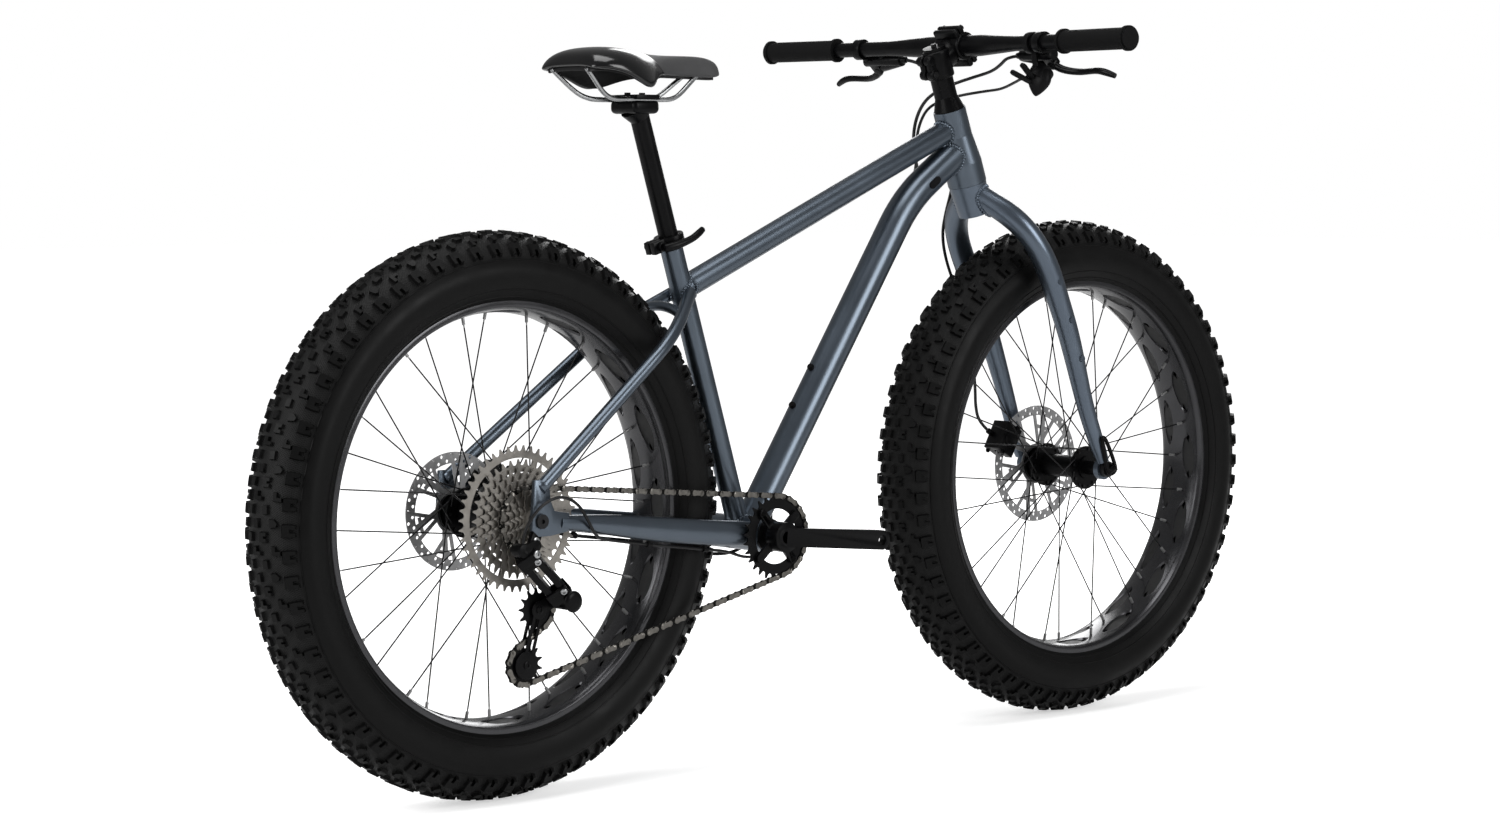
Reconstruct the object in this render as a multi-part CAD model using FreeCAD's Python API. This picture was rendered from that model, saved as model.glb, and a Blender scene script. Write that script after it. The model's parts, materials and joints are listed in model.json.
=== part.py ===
import FreeCAD, Part
import math
import os

V = FreeCAD.Vector

# Driving dimensions, in millimetres and degrees
wheelbase = 1112.0
tyre_radius = 378.0
tyre_width = 114.0
bb_drop = 54.0
chainstay_run = 441.0
seat_tilt = 17.3
head_tilt = 19.5
fork_length = 482.0
fork_rake = 56.0
head_length = 115.0
seat_tube_length = 432.0
bar_width = 740.0
front_hub_width = 150.0
rear_hub_width = 197.0
crank_length = 174.0
chain_line = 75.0

# Fits and small gaps
running_fit = 0.05
seat_fit = 0.02
clear_gap = 0.6
overrun = 2.0

# Frame tubes
head_low_radius = 29.0
head_top_radius = 24.5
head_low_straight = 32.0
head_taper = 42.0
head_bore_radius = 21.0
head_cup_radius = 26.0
bearing_height = 7.0
top_tube_radius = 17.0
top_tube_wall = 1.6
top_tube_drop = 27.5
top_tube_rise = 361.0
down_tube_radius = 23.0
down_tube_wall = 1.8
down_tube_lead = 11.3
down_tube_tilt = 55.6
down_tube_drop = 61.0
down_tube_nose_tilt = 34.5
down_tube_bend = 245.0
seat_tube_radius = 15.9
bb_shell_radius = 24.0
bb_shell_half = 60.5
bb_bore_radius = 20.5
bb_lip = 3.0
bb_lip_radius = 23.5
spindle_radius = 12.0
spindle_bore_share = 0.72

# Stays and dropouts
chainstay_half_height = 17.5
chainstay_half_width = 10.0
seatstay_radius = 9.0
stay_spread = 100.0
seatstay_waist = 76.0
seatstay_join = 17.0
seatstay_top_rise = 357.0
bridge_radius = 7.0
bridge_rise = 12.0
dropout_thickness = 7.0
dropout_reach = 52.0
dropout_height = 56.0
dropout_drop = 20.0
caliper_tab_reach = 70.0
caliper_tab_height = 40.0

# Seat clamp and seatpost
post_radius = 13.6
post_wall = 2.2
post_length = 350.0
post_showing = 186.0
collar_radius = 21.0
collar_height = 17.0
collar_slot = 3.0
clamp_pin_radius = 2.6
clamp_pin_half = 24.0
clamp_pin_back = 25.0
clamp_nut_radius = 7.0
clamp_nut_length = 8.0
clamp_lever_length = 62.0
clamp_lever_width = 12.0
clamp_lever_depth = 6.0
clamp_lever_bow = 7.0
cam_turn = 150.0
cam_fan_steps = 10

# Saddle
saddle_length = 271.0
saddle_half_width = 71.0
saddle_height = 50.0
saddle_rise = 64.0
saddle_setback = 128.2
saddle_shell_depth = 5.0
rail_radius = 3.5
rail_half_gap = 22.0
rail_rise = 15.0
post_head_height = 24.0
post_head_half = 17.0
post_head_reach = 20.0
post_head_setback = 6.0
rail_clamp_height = 6.5
rail_clamp_half = 29.0
clamp_bolt_radius = 2.5
clamp_bolt_spread = 13.0
clamp_head_height = 3.0

# Wheels
rim_width = 80.0
rim_seat_radius = 279.5
rim_flange = 6.5
rim_wall = 3.0
rim_well_depth = 7.5
rim_well_half = 18.0
rim_shelf_half = 24.0
rim_lip_drop = 2.5
tyre_wall = 4.5
tyre_tread = 8.0
tyre_bead = 7.0
spoke_count = 32
spoke_crosses = 3
spoke_radius = 1.0
nipple_radius = 2.2
nipple_length = 14.0
rim_hole_offset = 9.0
hub_flange_thickness = 3.4
hub_cap_radius = 10.5
hub_cap_length = 9.0
front_flange_radius = 33.0
front_flange_left = 36.0
front_flange_right = 44.0
front_barrel_radius = 17.0
front_axle_radius = 7.5
rear_flange_radius = 34.0
rear_flange_left = 55.0
rear_flange_right = 44.0
rear_barrel_radius = 19.0
rear_axle_radius = 6.0
flange_rim = 4.5
rotor_offset = 15.3
rotor_thickness = 1.8
front_rotor_radius = 90.0
rear_rotor_radius = 80.0
rotor_band = 15.0
rotor_arm_width = 9.0
rotor_arms = 6
rotor_hub_ring = 4.0
rotor_seat_radius = 27.0
rotor_bolt_circle = 22.0
rotor_bolt_radius = 2.4
rotor_bolt_head = 4.4
rotor_bolt_height = 3.0
rotor_hole_radius = 2.4
rotor_hole_count = 30
axle_head_radius = 9.5
axle_head_length = 3.0

# Drive train
chain_pitch = 12.7
roller_radius = 3.85
chain_hole_radius = 2.0
chain_pin_radius = 1.8
link_end_radius = 4.1
link_waist = 3.1
link_plate = 0.8
link_inner_half = 1.15
link_side_gap = 0.05
ring_teeth = 28
cog_teeth = (11, 13, 15, 18, 21, 24, 28, 32, 37, 46)
cog_in_use = 4
cog_spacing = 3.95
cog_thickness = 1.6
cog_spacer_radius = 18.0
cog_hub_radius = 25.0
cog_rim_depth = 9.0
freehub_radius = 17.0
pulley_teeth = 13
pulley_thickness = 1.8
tooth_gap = 0.2
tooth_height = 3.9
tooth_tip_half = 0.8
ring_thickness = 1.9
ring_band = 14.0
spider_arm_width = 12.0
spider_thickness = 5.0
ring_bolt_radius = 4.0
ring_bolt_circle = 44.0
crank_outer = 98.7
crank_boss_radius = 21.0
crank_boss_depth = 22.0
crank_width = 26.0
crank_thickness = 14.0
crank_flare = 12.0
crank_angle = -5.1
crank_end_radius = 14.0
pedal_thread_radius = 7.14

# Rear derailleur
hanger_back = 13.0
hanger_drop = 30.5
hanger_thickness = 7.0
hanger_width = 15.0
mech_bolt_radius = 5.0
mech_back = 33.0
mech_drop = 36.0
mech_link_thickness = 6.0
mech_fall = 107.0
mech_reach = 40.0
mech_slant = 52.0
mech_plane = 104.0
link_length = 60.0
link_offset = 9.0
link_width = 14.0
link_half = 4.5
link_pin_radius = 2.2
link_start = 22.0
tab_thickness = 3.0
tab_gap = 0.4
tab_reach = 6.0
wall_gap = 9.0
wall_thickness = 5.0
mech_boss_radius = 9.0
mech_neck_radius = 8.0
knuckle_radius = 12.0
knuckle_face = 108.0
knuckle_gap = 3.0
cage_pivot_radius = 5.0
cage_head_radius = 10.0
cage_gap = 4.2
cage_plate = 1.8
cage_width = 15.0
cage_nose = 19.0
guide_back = 26.0
guide_drop = 11.0
tension_back = 53.0
tension_drop = 80.0
pulley_bolt_radius = 2.5
pulley_boss_radius = 6.0

# Fork and cockpit
steerer_low_radius = 19.05
steerer_top_radius = 14.3
steerer_low_length = 30.0
steerer_taper = 45.0
steerer_wall = 2.0
steerer_recess = 3.0
crown_radius = 28.5
crown_foot_radius = 24.0
crown_height = 48.0
leg_radius = 17.5
leg_spread = 83.0
leg_foot_radius = 16.0
leg_foot_thickness = 9.0
cover_height = 20.0
cover_radius = 23.0
cover_top_radius = 16.5
spacer_height = 15.0
spacer_radius = 17.0
stem_height = 42.0
stem_radius = 18.5
stem_reach = 43.0
stem_rise = 12.0
stem_body_radius = 15.0
bar_clamp_radius = 15.9
bar_clamp_half = 27.0
bar_clamp_wall = 5.0
faceplate_gap = 2.0
clamp_ear_depth = 16.0
clamp_bolt_share = 0.63
pinch_half = 12.0
top_cap_height = 4.0
bolt_radius = 2.5
bolt_head_radius = 4.2
bolt_head_height = 4.5
bar_end_radius = 11.1
bar_bore_radius = 8.8
bar_straight_half = 52.0
bar_taper_inset = 36.0
bar_sweep = 31.0
grip_radius = 15.5
grip_flange_radius = 18.0
grip_flange_width = 5.0
grip_length = 138.0
plug_thickness = 3.0

# Brake levers, shifter, calipers
control_inset = 45.0
control_tilt = 42.0
control_width = 13.0
control_wall = 4.5
cylinder_radius = 8.5
cylinder_offset = 25.0
cylinder_inboard = 62.0
lever_pivot_reach = 43.0
lever_pivot_inboard = 8.0
lever_pin_radius = 2.5
lever_thickness = 8.0
lever_half = 4.0
lever_length = 104.0
lever_depth = 24.0
ear_thickness = 2.5
ear_radius = 7.5
hose_nut_length = 10.0
hose_nut_radius = 4.5
shifter_inset = 21.0
shifter_radius = 17.0
shifter_depth = 22.0
shifter_drop = 47.0
shifter_forward = 16.0
shifter_clamp_half = 5.0
shift_gap = 0.4
shift_lever_length = 34.0
shift_lever_width = 11.0
shift_lever_thickness = 3.0
shift_pin_radius = 2.5
caliper_length = 46.0
caliper_height = 34.0
caliper_set = 6.0
caliper_room = 1.5
rear_caliper_angle = 30.0
caliper_nut_share = 0.6
front_caliper_angle = 150.0
front_arm_radius = 8.0
front_caliper_leg_place = 436.0
caliper_slot = 5.6
pad_gap = 0.4
pad_length = 26.0
pad_height = 15.0
axle_lever_length = 66.0
axle_lever_width = 12.0
axle_lever_thickness = 6.0
axle_lever_tilt = -22.0
axle_cap_radius = 12.0
axle_cap_length = 9.0
axle_pin_radius = 2.5

# Cords and fittings
hose_radius = 2.5
cable_radius = 2.2
cord_bend_share = 0.45
boss_radius = 5.0
boss_height = 2.5
boss_places = (195.0, 259.0)
leg_boss_places = (170.0, 234.0, 298.0)
port_length = 24.0
port_width = 11.0
port_height = 3.5
port_lip = 1.5
port_place = 44.0
clip_width = 9.0
clip_wall = 1.6
clip_stations = (-240, -352)

# Places worked out from the driving dimensions
rear_axle = V(-wheelbase / 2, 0, tyre_radius)
front_axle = V(wheelbase / 2, 0, tyre_radius)
bb = V(-wheelbase / 2 + chainstay_run, 0, tyre_radius - bb_drop)
left = V(0, 1, 0)
seat_up = V(-math.sin(math.radians(seat_tilt)), 0, math.cos(math.radians(seat_tilt)))
seat_fwd = V(seat_up.z, 0, -seat_up.x)
steer_up = V(-math.sin(math.radians(head_tilt)), 0, math.cos(math.radians(head_tilt)))
steer_fwd = V(steer_up.z, 0, -steer_up.x)
head_low = front_axle + steer_up * fork_length - steer_fwd * fork_rake
head_top = head_low + steer_up * head_length
seat_top = bb + seat_up * seat_tube_length
post_top = seat_top + seat_up * post_showing
rail_height = post_top.z + rail_rise
saddle_top = rail_height + saddle_rise
saddle_rear = post_top.x - saddle_setback
control_place = bar_width / 2 - grip_length - control_inset
shifter_place = control_place - shifter_inset
bar_taper_half = shifter_place - bar_taper_inset
rim_lip_radius = rim_seat_radius - rim_lip_drop
pitch_share = 1 / (2 * math.pi)


# Basic solids
def rod(start, end, radius):
    run = end - start
    return Part.makeCylinder(radius, run.Length, start, run)


def cone(start, end, start_radius, end_radius):
    run = end - start
    return Part.makeCone(start_radius, end_radius, run.Length, start, run)


def sleeve(start, end, outer, inner):
    return rod(start, end, outer).cut(rod(start, end, inner))


def prism(points, run):
    outline = Part.makePolygon(points + points[:1])
    return Part.Face(outline).extrude(run)


def block(centre, axes, sizes):
    corner = centre
    for axis, size in zip(axes, sizes):
        corner = corner - axis * (size / 2)
    first, second, third = [axis * size for axis, size in zip(axes, sizes)]
    return prism([corner, corner + first, corner + first + second, corner + second], third)


def turned(profile, centre):
    points = [centre + V(0, place, radius) for radius, place in profile]
    outline = Part.makePolygon(points + points[:1])
    return Part.Face(outline).revolve(centre, left, 360)


def stadium(start, end, radius, normal):
    along = (end - start).normalize()
    across = normal.cross(along).normalize()
    edges = [
        Part.LineSegment(start - across * radius, end - across * radius).toShape(),
        Part.Arc(end - across * radius, end + along * radius, end + across * radius).toShape(),
        Part.LineSegment(end + across * radius, start + across * radius).toShape(),
        Part.Arc(start + across * radius, start - along * radius, start - across * radius).toShape(),
    ]
    return Part.Wire(edges)


def bar_plate(start, end, radius, normal, thickness):
    face = Part.Face(stadium(start, end, radius, normal))
    return face.extrude(normal * thickness)


def fused(shapes):
    return shapes[0].multiFuse(shapes[1:]).removeSplitter()


def circle(centre, axis, radius):
    return Part.Wire(Part.makeCircle(radius, centre, axis))


def oval(centre, axis, half_height, half_width):
    side = V(0, 0, 1).cross(axis).normalize()
    up = axis.cross(side).normalize()
    ellipse = Part.Ellipse(centre + up * half_height, centre + side * half_width, centre)
    return Part.Wire(ellipse.toShape())


# A path of straight runs joined by tangent arcs
def bent_path(points, radius_at):
    edges = []
    last = points[0]
    for before, here, after in zip(points, points[1:], points[2:]):
        back = (before - here).normalize()
        ahead = (after - here).normalize()
        half_turn = (math.pi - back.getAngle(ahead)) / 2
        radius = radius_at(before, here, after, half_turn)
        trim = radius * math.tan(half_turn)
        middle = (back + ahead).normalize()
        start = here + back * trim
        end = here + ahead * trim
        top = here + middle * (radius / math.cos(half_turn) - radius)
        edges.append(Part.LineSegment(last, start).toShape())
        edges.append(Part.Arc(start, top, end).toShape())
        last = end
    edges.append(Part.LineSegment(last, points[-1]).toShape())
    return Part.Wire(edges)


def swept(path, section_radius):
    first = path.OrderedEdges[0]
    start = first.valueAt(first.FirstParameter)
    heading = first.tangentAt(first.FirstParameter)
    return path.makePipeShell([circle(start, heading, section_radius)], True, False)


def cord(name, points, radius):
    radii = []

    def largest(before, here, after, half_turn):
        shorter = min((before - here).Length, (after - here).Length)
        radii.append(cord_bend_share * shorter / math.tan(half_turn))
        return radii[-1]

    path = bent_path(points, largest)
    solid = swept(path, radius)
    wanted = math.pi * radius ** 2 * path.Length
    print(name, "radii", [round(value) for value in radii], "volume ratio", round(solid.Volume / wanted, 4))
    return solid


nodes = {}


def add(name, shapes):
    parts = shapes if isinstance(shapes, list) else [shapes]
    solids = [solid for part in parts for solid in part.Solids]
    nodes[name] = solids[0] if len(solids) == 1 else Part.makeCompound(solids)


# Frame tubes, each cut to the tubes that it meets
head_mid = head_low + steer_up * head_low_straight
head_neck = head_mid + steer_up * head_taper
head_solid = fused([
    rod(head_low, head_mid, head_low_radius),
    cone(head_mid, head_neck, head_low_radius, head_top_radius),
    rod(head_neck, head_top, head_top_radius),
])
seat_solid = rod(bb, seat_top, seat_tube_radius)
bb_solid = rod(bb - left * bb_shell_half, bb + left * bb_shell_half, bb_shell_radius)
top_front = head_top - steer_up * top_tube_drop
top_rear = bb + seat_up * top_tube_rise
top_solid = rod(top_rear, top_front, top_tube_radius)

down_dir = V(math.cos(math.radians(down_tube_tilt)), 0, math.sin(math.radians(down_tube_tilt)))
nose_dir = V(math.cos(math.radians(down_tube_nose_tilt)), 0, math.sin(math.radians(down_tube_nose_tilt)))
down_front = head_top - steer_up * down_tube_drop
down_start = bb + V(down_tube_lead, 0, 0)
down_span = down_front - down_start
down_run = (
    down_span.x * nose_dir.z - down_span.z * nose_dir.x
) / (down_dir.x * nose_dir.z - down_dir.z * nose_dir.x)
down_corner = down_start + down_dir * down_run
down_path = bent_path([down_start, down_corner, down_front], lambda before, here, after, turn: down_tube_bend)
down_solid = swept(down_path, down_tube_radius)

head_bore = fused([
    rod(head_low - steer_up * overrun, head_top + steer_up * overrun, head_bore_radius),
    rod(head_low - steer_up * overrun, head_low + steer_up * bearing_height, head_cup_radius),
])
add("head_tube", head_solid.cut(head_bore))
top_bore = rod(top_rear, top_front, top_tube_radius - top_tube_wall)
add("top_tube", top_solid.cut(head_solid).cut(seat_solid).cut(top_bore))
seat_bore = rod(bb, seat_top + seat_up * overrun, post_radius + running_fit)
add("seat_tube", seat_solid.cut(bb_solid).cut(seat_bore))
bb_bore = rod(bb - left * (bb_shell_half + overrun), bb + left * (bb_shell_half + overrun), bb_bore_radius)
add("bottom_bracket_shell", bb_solid.cut(bb_bore))

# Chainstays and seatstays
chainstay_run_shares = (0.075, 0.24, 0.46, 0.7, 0.88, 0.985)
chainstay_side_shares = (1.0, 0.93, 0.81, 0.715, 0.6, 0.5)
chainstay_drop_shares = (0.08, 0.22, 0.47, 0.72, 0.88, 0.985)
chainstay_height_shares = (0.56, 0.74, 0.94, 1.0, 1.0, 0.94)
chainstay_width_shares = (0.75, 0.95, 1.0, 0.95, 0.95, 1.0)


def chainstay(side):
    places = []
    for run, spread, drop in zip(chainstay_run_shares, chainstay_side_shares, chainstay_drop_shares):
        offset = V(chainstay_run * run, side * stay_spread * spread, -bb_drop * drop)
        places.append(rear_axle + offset)
    sections = []
    for index, place in enumerate(places):
        before = places[max(index - 1, 0)]
        after = places[min(index + 1, len(places) - 1)]
        height = chainstay_half_height * chainstay_height_shares[index]
        width = chainstay_half_width * chainstay_width_shares[index]
        sections.append(oval(place, (after - before).normalize(), height, width))
    return Part.makeLoft(sections, True, False)


seatstay_top = bb + seat_up * seatstay_top_rise
seatstay_foot = rear_axle + V(0, 0, dropout_height)

stay_bend_share = 0.76
bridge_share = 0.47


def seatstay_path(side):
    span = seatstay_top - seatstay_foot
    points = [
        seatstay_foot + V(0, side * (stay_spread + dropout_thickness / 4), -dropout_height / 4),
        seatstay_foot + span * stay_bend_share + V(0, side * seatstay_waist, 0),
        seatstay_top + V(0, side * seatstay_join, 0),
    ]

    def easy(before, here, after, half_turn):
        return cord_bend_share * (after - here).Length / math.tan(half_turn)

    return bent_path(points, easy), points


def seatstay(side):
    path, points = seatstay_path(side)
    return swept(path, seatstay_radius)


dropout_shares = (
    (-0.3, -0.55), (-0.1, -1.0), (0.3, -1.0), (0.86, -0.8), (0.9, 0.4),
    (0.42, 0.62), (0.3, 1.3), (0.24, 2.72), (-0.2, 2.72), (-0.24, 1.3),
)


def dropout(side):
    inner = side * rear_hub_width / 2
    points = []
    for run, rise in dropout_shares:
        points.append(rear_axle + V(dropout_reach * run, inner, dropout_drop * rise))
    plate = prism(points, V(0, side * dropout_thickness, 0))
    if side > 0:
        tab_base = rear_axle + V(0, inner, dropout_drop)
        tab_tip = rear_axle + V(caliper_tab_reach, inner, caliper_tab_height)
        tab = bar_plate(tab_base, tab_tip, seatstay_radius, left, dropout_thickness)
        plate = fused([plate, tab])
    bore = rod(
        rear_axle - left * rear_hub_width,
        rear_axle + left * rear_hub_width,
        rear_axle_radius + seat_fit,
    )
    return plate.cut(bore)


dropouts = [dropout(1), dropout(-1)]
bb_reach = rod(bb - left * (bb_shell_half * 2), bb + left * (bb_shell_half * 2), bb_shell_radius)
chainstays = []
seatstays = []
for side, plate in zip((1, -1), dropouts):
    chainstays.append(chainstay(side).cut(bb_reach).cut(plate))
    seatstays.append(seatstay(side).cut(seat_solid).cut(plate).cut(top_solid))
stay_points = seatstay_path(1)[1]
bridge_end = stay_points[1] * (1 - bridge_share) + stay_points[2] * bridge_share
bridge_top = V(bridge_end.x, 0, bridge_end.z + bridge_rise)
bridge_arc = Part.Arc(bridge_end, bridge_top, V(bridge_end.x, -bridge_end.y, bridge_end.z))
bridge = swept(Part.Wire(bridge_arc.toShape()), bridge_radius)
for stay in [seatstay(1), seatstay(-1)]:
    bridge = bridge.cut(stay)
bridge = max(bridge.Solids, key=lambda solid: solid.Volume)
add("chainstays", chainstays)
add("seatstays", seatstays + [bridge.cut(seat_solid)])
add("dropouts", dropouts)

# Headset bearings and bottom bracket cups
spindle_bore = spindle_radius + running_fit
low_bearing = sleeve(
    head_low,
    head_low + steer_up * bearing_height,
    head_cup_radius,
    steerer_low_radius + running_fit,
)
top_bearing = sleeve(
    head_top - steer_up * bearing_height,
    head_top,
    head_bore_radius,
    steerer_top_radius + running_fit,
)
cups = []
for side in (1, -1):
    face = bb + left * (side * bb_shell_half)
    lip = sleeve(face, face + left * (side * bb_lip), bb_lip_radius, spindle_bore)
    cup = sleeve(face - left * (side * bearing_height), face, bb_bore_radius, spindle_bore)
    cups.append(fused([lip, cup]))
add("frame_bearings", [low_bearing, top_bearing] + cups)

# Rear through axle
rear_end = left * (rear_hub_width / 2 + dropout_thickness)
axle_bolt = rod(rear_axle - rear_end, rear_axle + rear_end, rear_axle_radius)
axle_head = rod(rear_axle - rear_end - left * axle_head_length, rear_axle - rear_end, axle_head_radius)
axle_hex = rod(rear_axle - rear_end - left * axle_head_length, rear_axle - rear_end, rear_axle_radius / 2)
add("rear_axle", fused([axle_bolt, axle_head]).cut(axle_hex))

# Seat collar with its cross pin
collar_low = seat_top - seat_up * (collar_height / 2)
collar_high = seat_top + seat_up * (collar_height / 2)
pin_centre = seat_top - seat_fwd * clamp_pin_back
collar_ears = block(pin_centre, (seat_fwd, left, seat_up), (clamp_pin_back, collar_radius, collar_height))
collar = fused([rod(collar_low, collar_high, collar_radius), collar_ears])
collar = collar.cut(rod(collar_low, seat_top, seat_tube_radius + seat_fit))
collar = collar.cut(rod(seat_top, collar_high, post_radius + running_fit))
slot_size = (clamp_pin_back * 2, collar_slot, collar_height + overrun)
collar = collar.cut(block(pin_centre - seat_fwd * (collar_radius / 2), (seat_fwd, left, seat_up), slot_size))
collar = collar.cut(
    rod(pin_centre - left * clamp_pin_half, pin_centre + left * clamp_pin_half, clamp_pin_radius + seat_fit)
)
ear_face = left * (collar_radius / 2)
clamp_pin = rod(
    pin_centre - left * clamp_pin_half,
    pin_centre + ear_face + left * clamp_nut_length,
    clamp_pin_radius,
)
clamp_nut = rod(pin_centre + ear_face, pin_centre + ear_face + left * clamp_nut_length, clamp_nut_radius)
cam_rest = pin_centre - left * (clamp_pin_half - clamp_nut_radius - clear_gap)
cam_seat = sleeve(cam_rest, pin_centre - ear_face, clamp_nut_radius, clamp_pin_radius + seat_fit)
add("seat_collar", [collar, cam_seat, fused([clamp_pin, clamp_nut])])

# Quick-release lever that swings about a pin along the seat tube
cam_centre = pin_centre - left * clamp_pin_half
cam_half = seat_up * (clamp_lever_width / 2)
cam = rod(cam_centre - cam_half, cam_centre + cam_half, clamp_nut_radius)
lever_path = [
    cam_centre - left * (clamp_lever_depth / 2),
    cam_centre + seat_fwd * (clamp_lever_length / 2) - left * clamp_lever_bow,
    cam_centre + seat_fwd * clamp_lever_length - left * (clamp_lever_depth / 2),
]
lever_arms = []
for start, end in zip(lever_path, lever_path[1:]):
    lever_arms.append(
        bar_plate(start - cam_half, end - cam_half, clamp_lever_depth / 2, seat_up, clamp_lever_width)
    )
pin_fan = [cam_centre]
for index in range(cam_fan_steps + 1):
    spread = math.radians(cam_turn * index / cam_fan_steps)
    pin_fan.append(
        cam_centre + (left * math.cos(spread) - seat_fwd * math.sin(spread)) * (clamp_nut_radius * 2)
    )
pin_height = seat_up * (clamp_pin_radius + clear_gap)
pin_room = prism([place - pin_height for place in pin_fan], pin_height * 2)
open_turn = math.radians(cam_turn)
for heading in (left, left * math.cos(open_turn) - seat_fwd * math.sin(open_turn)):
    pin_start = cam_centre - heading * clamp_pin_radius
    pin_room = pin_room.fuse(
        rod(pin_start, cam_centre + heading * clamp_nut_radius, clamp_pin_radius + clear_gap)
    )
add("seat_clamp_lever", fused([cam] + lever_arms).cut(pin_room))

# Seatpost with its head, rail clamp, rails, shell and cover of the saddle
post_foot = seat_top + seat_up * (post_showing - post_length)
head_centre = V(post_top.x - post_head_setback, 0, rail_height - rail_radius - post_head_height / 2)
post_head = block(
    head_centre,
    (V(1, 0, 0), left, V(0, 0, 1)),
    (post_head_reach * 2, post_head_half * 2, post_head_height),
)
post_tube = sleeve(post_foot, post_top, post_radius, post_radius - post_wall)
post_head = post_head.cut(rod(post_foot, post_top, post_radius))
post_core = rod(post_top - seat_up * post_head_height, post_top, post_radius)
rail_line = V(post_head_reach * 2, 0, 0)
rail_centre = V(head_centre.x, 0, rail_height)


def rail_groove(side, radius):
    middle = rail_centre + left * (side * rail_half_gap)
    return rod(middle - rail_line, middle + rail_line, radius)


rest_size = (post_head_reach * 2, rail_clamp_half * 2, rail_radius * 2)
rail_rest = block(rail_centre - V(0, 0, rail_radius), (V(1, 0, 0), left, V(0, 0, 1)), rest_size)
post_parts = fused([post_tube, post_head, post_core, rail_rest])
upper_size = (post_head_reach * 2, rail_clamp_half * 2, rail_clamp_height)
upper = block(rail_centre + V(0, 0, rail_clamp_height / 2), (V(1, 0, 0), left, V(0, 0, 1)), upper_size)
clamp_bolts = []
for along in (1, -1):
    foot = rail_centre + V(along * clamp_bolt_spread, 0, 0)
    low = foot - V(0, 0, post_head_height / 2)
    high = foot + V(0, 0, rail_clamp_height)
    shank = rod(low, high, clamp_bolt_radius)
    head = rod(high, high + V(0, 0, clamp_head_height), bolt_head_radius)
    clamp_bolts.append(fused([shank, head]))
    hole = rod(low, high + V(0, 0, overrun), clamp_bolt_radius + seat_fit)
    post_parts = post_parts.cut(hole)
    upper = upper.cut(hole)
for side in (1, -1):
    post_parts = post_parts.cut(rail_groove(side, rail_radius + seat_fit))
    upper = upper.cut(rail_groove(side, rail_radius + seat_fit))
add("seatpost", post_parts)
add("saddle_clamp", [upper] + clamp_bolts)

saddle_place_shares = (0.0, 0.06, 0.2, 0.38, 0.56, 0.76, 0.93, 1.0)
saddle_width_shares = (0.62, 0.88, 1.0, 0.76, 0.42, 0.28, 0.25, 0.15)
saddle_rise_shares = (-0.3, -0.06, 0.0, -0.08, -0.11, -0.04, -0.03, -0.22)
saddle_skirt_shares = (-0.76, -0.98, -1.06, -0.98, -0.78, -0.6, -0.56, -0.5)
saddle_shoulder_share = 0.42
saddle_tuck_share = 0.9


def saddle_sections(outline_of):
    sections = []
    for place, width, rise, skirt in zip(
            saddle_place_shares, saddle_width_shares, saddle_rise_shares, saddle_skirt_shares):
        x = saddle_rear + saddle_length * place
        crest = saddle_top + saddle_height * rise
        hem = saddle_top + saddle_height * skirt
        sections.append(outline_of(x, saddle_half_width * width, crest, hem))
    return sections


def cover_outline(x, half, crest, hem):
    shoulder = crest - (crest - hem) * saddle_shoulder_share
    foot = half * saddle_tuck_share
    crown = Part.Arc(V(x, half, shoulder), V(x, 0, crest), V(x, -half, shoulder))
    return Part.Wire([
        Part.LineSegment(V(x, -foot, hem), V(x, foot, hem)).toShape(),
        Part.LineSegment(V(x, foot, hem), V(x, half, shoulder)).toShape(),
        crown.toShape(),
        Part.LineSegment(V(x, -half, shoulder), V(x, -foot, hem)).toShape(),
    ])


def shell_outline(x, half, crest, hem):
    foot = half * saddle_tuck_share
    low_foot = foot * saddle_tuck_share
    high = hem - clear_gap / 2
    low = hem - saddle_shell_depth
    corners = [V(x, -foot, high), V(x, foot, high), V(x, low_foot, low), V(x, -low_foot, low)]
    return Part.makePolygon(corners + corners[:1])


cover = Part.makeLoft(saddle_sections(cover_outline), True, False)
shell = Part.makeLoft(saddle_sections(shell_outline), True, False)
add("saddle_cover", cover)

rail_rear_share = 0.19
rail_front_share = 0.8
rail_rise_share = 0.62


def rail_bend(before, here, after, half_turn):
    return rail_radius * 4


rails = []
for side in (1, -1):
    rear_up = V(
        saddle_rear + saddle_length * rail_rear_share,
        side * rail_half_gap,
        saddle_top - saddle_height,
    )
    front_up = V(saddle_rear + saddle_length * rail_front_share, side * rail_half_gap / 2, 0)
    front_up.z = saddle_top - saddle_height * rail_rise_share
    low_rear = rail_centre + V(-post_head_reach - rail_clamp_half, side * rail_half_gap, 0)
    low_front = rail_centre + V(post_head_reach + rail_clamp_half / 2, side * rail_half_gap, 0)
    path = bent_path([rear_up, low_rear, low_front, front_up], rail_bend)
    rails.append(swept(path, rail_radius).cut(cover))
add("saddle_rails", [max(rail.Solids, key=lambda solid: solid.Volume) for rail in rails])
for rail in rails:
    shell = shell.cut(rail)
shell = max(shell.Solids, key=lambda solid: solid.Volume)
add("saddle_shell", shell)


# Wheels: rim, tyre, hub, spokes and brake rotor
def wheel_point(centre, radius, angle, side):
    return centre + V(radius * math.cos(angle), side, radius * math.sin(angle))


def rim(centre):
    half = rim_width / 2
    wall = half - rim_wall
    top = rim_seat_radius + rim_flange
    well = rim_seat_radius - rim_well_depth
    outside = [
        (top, half),
        (top, wall),
        (rim_seat_radius, wall),
        (rim_seat_radius, rim_shelf_half),
        (well, rim_well_half),
    ]
    inside = [(well - rim_wall, rim_well_half), (rim_lip_radius, half)]
    profile = outside + [(radius, -place) for radius, place in reversed(outside)]
    profile += [(radius, -place) for radius, place in reversed(inside)] + inside
    return turned(profile, centre)


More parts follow.
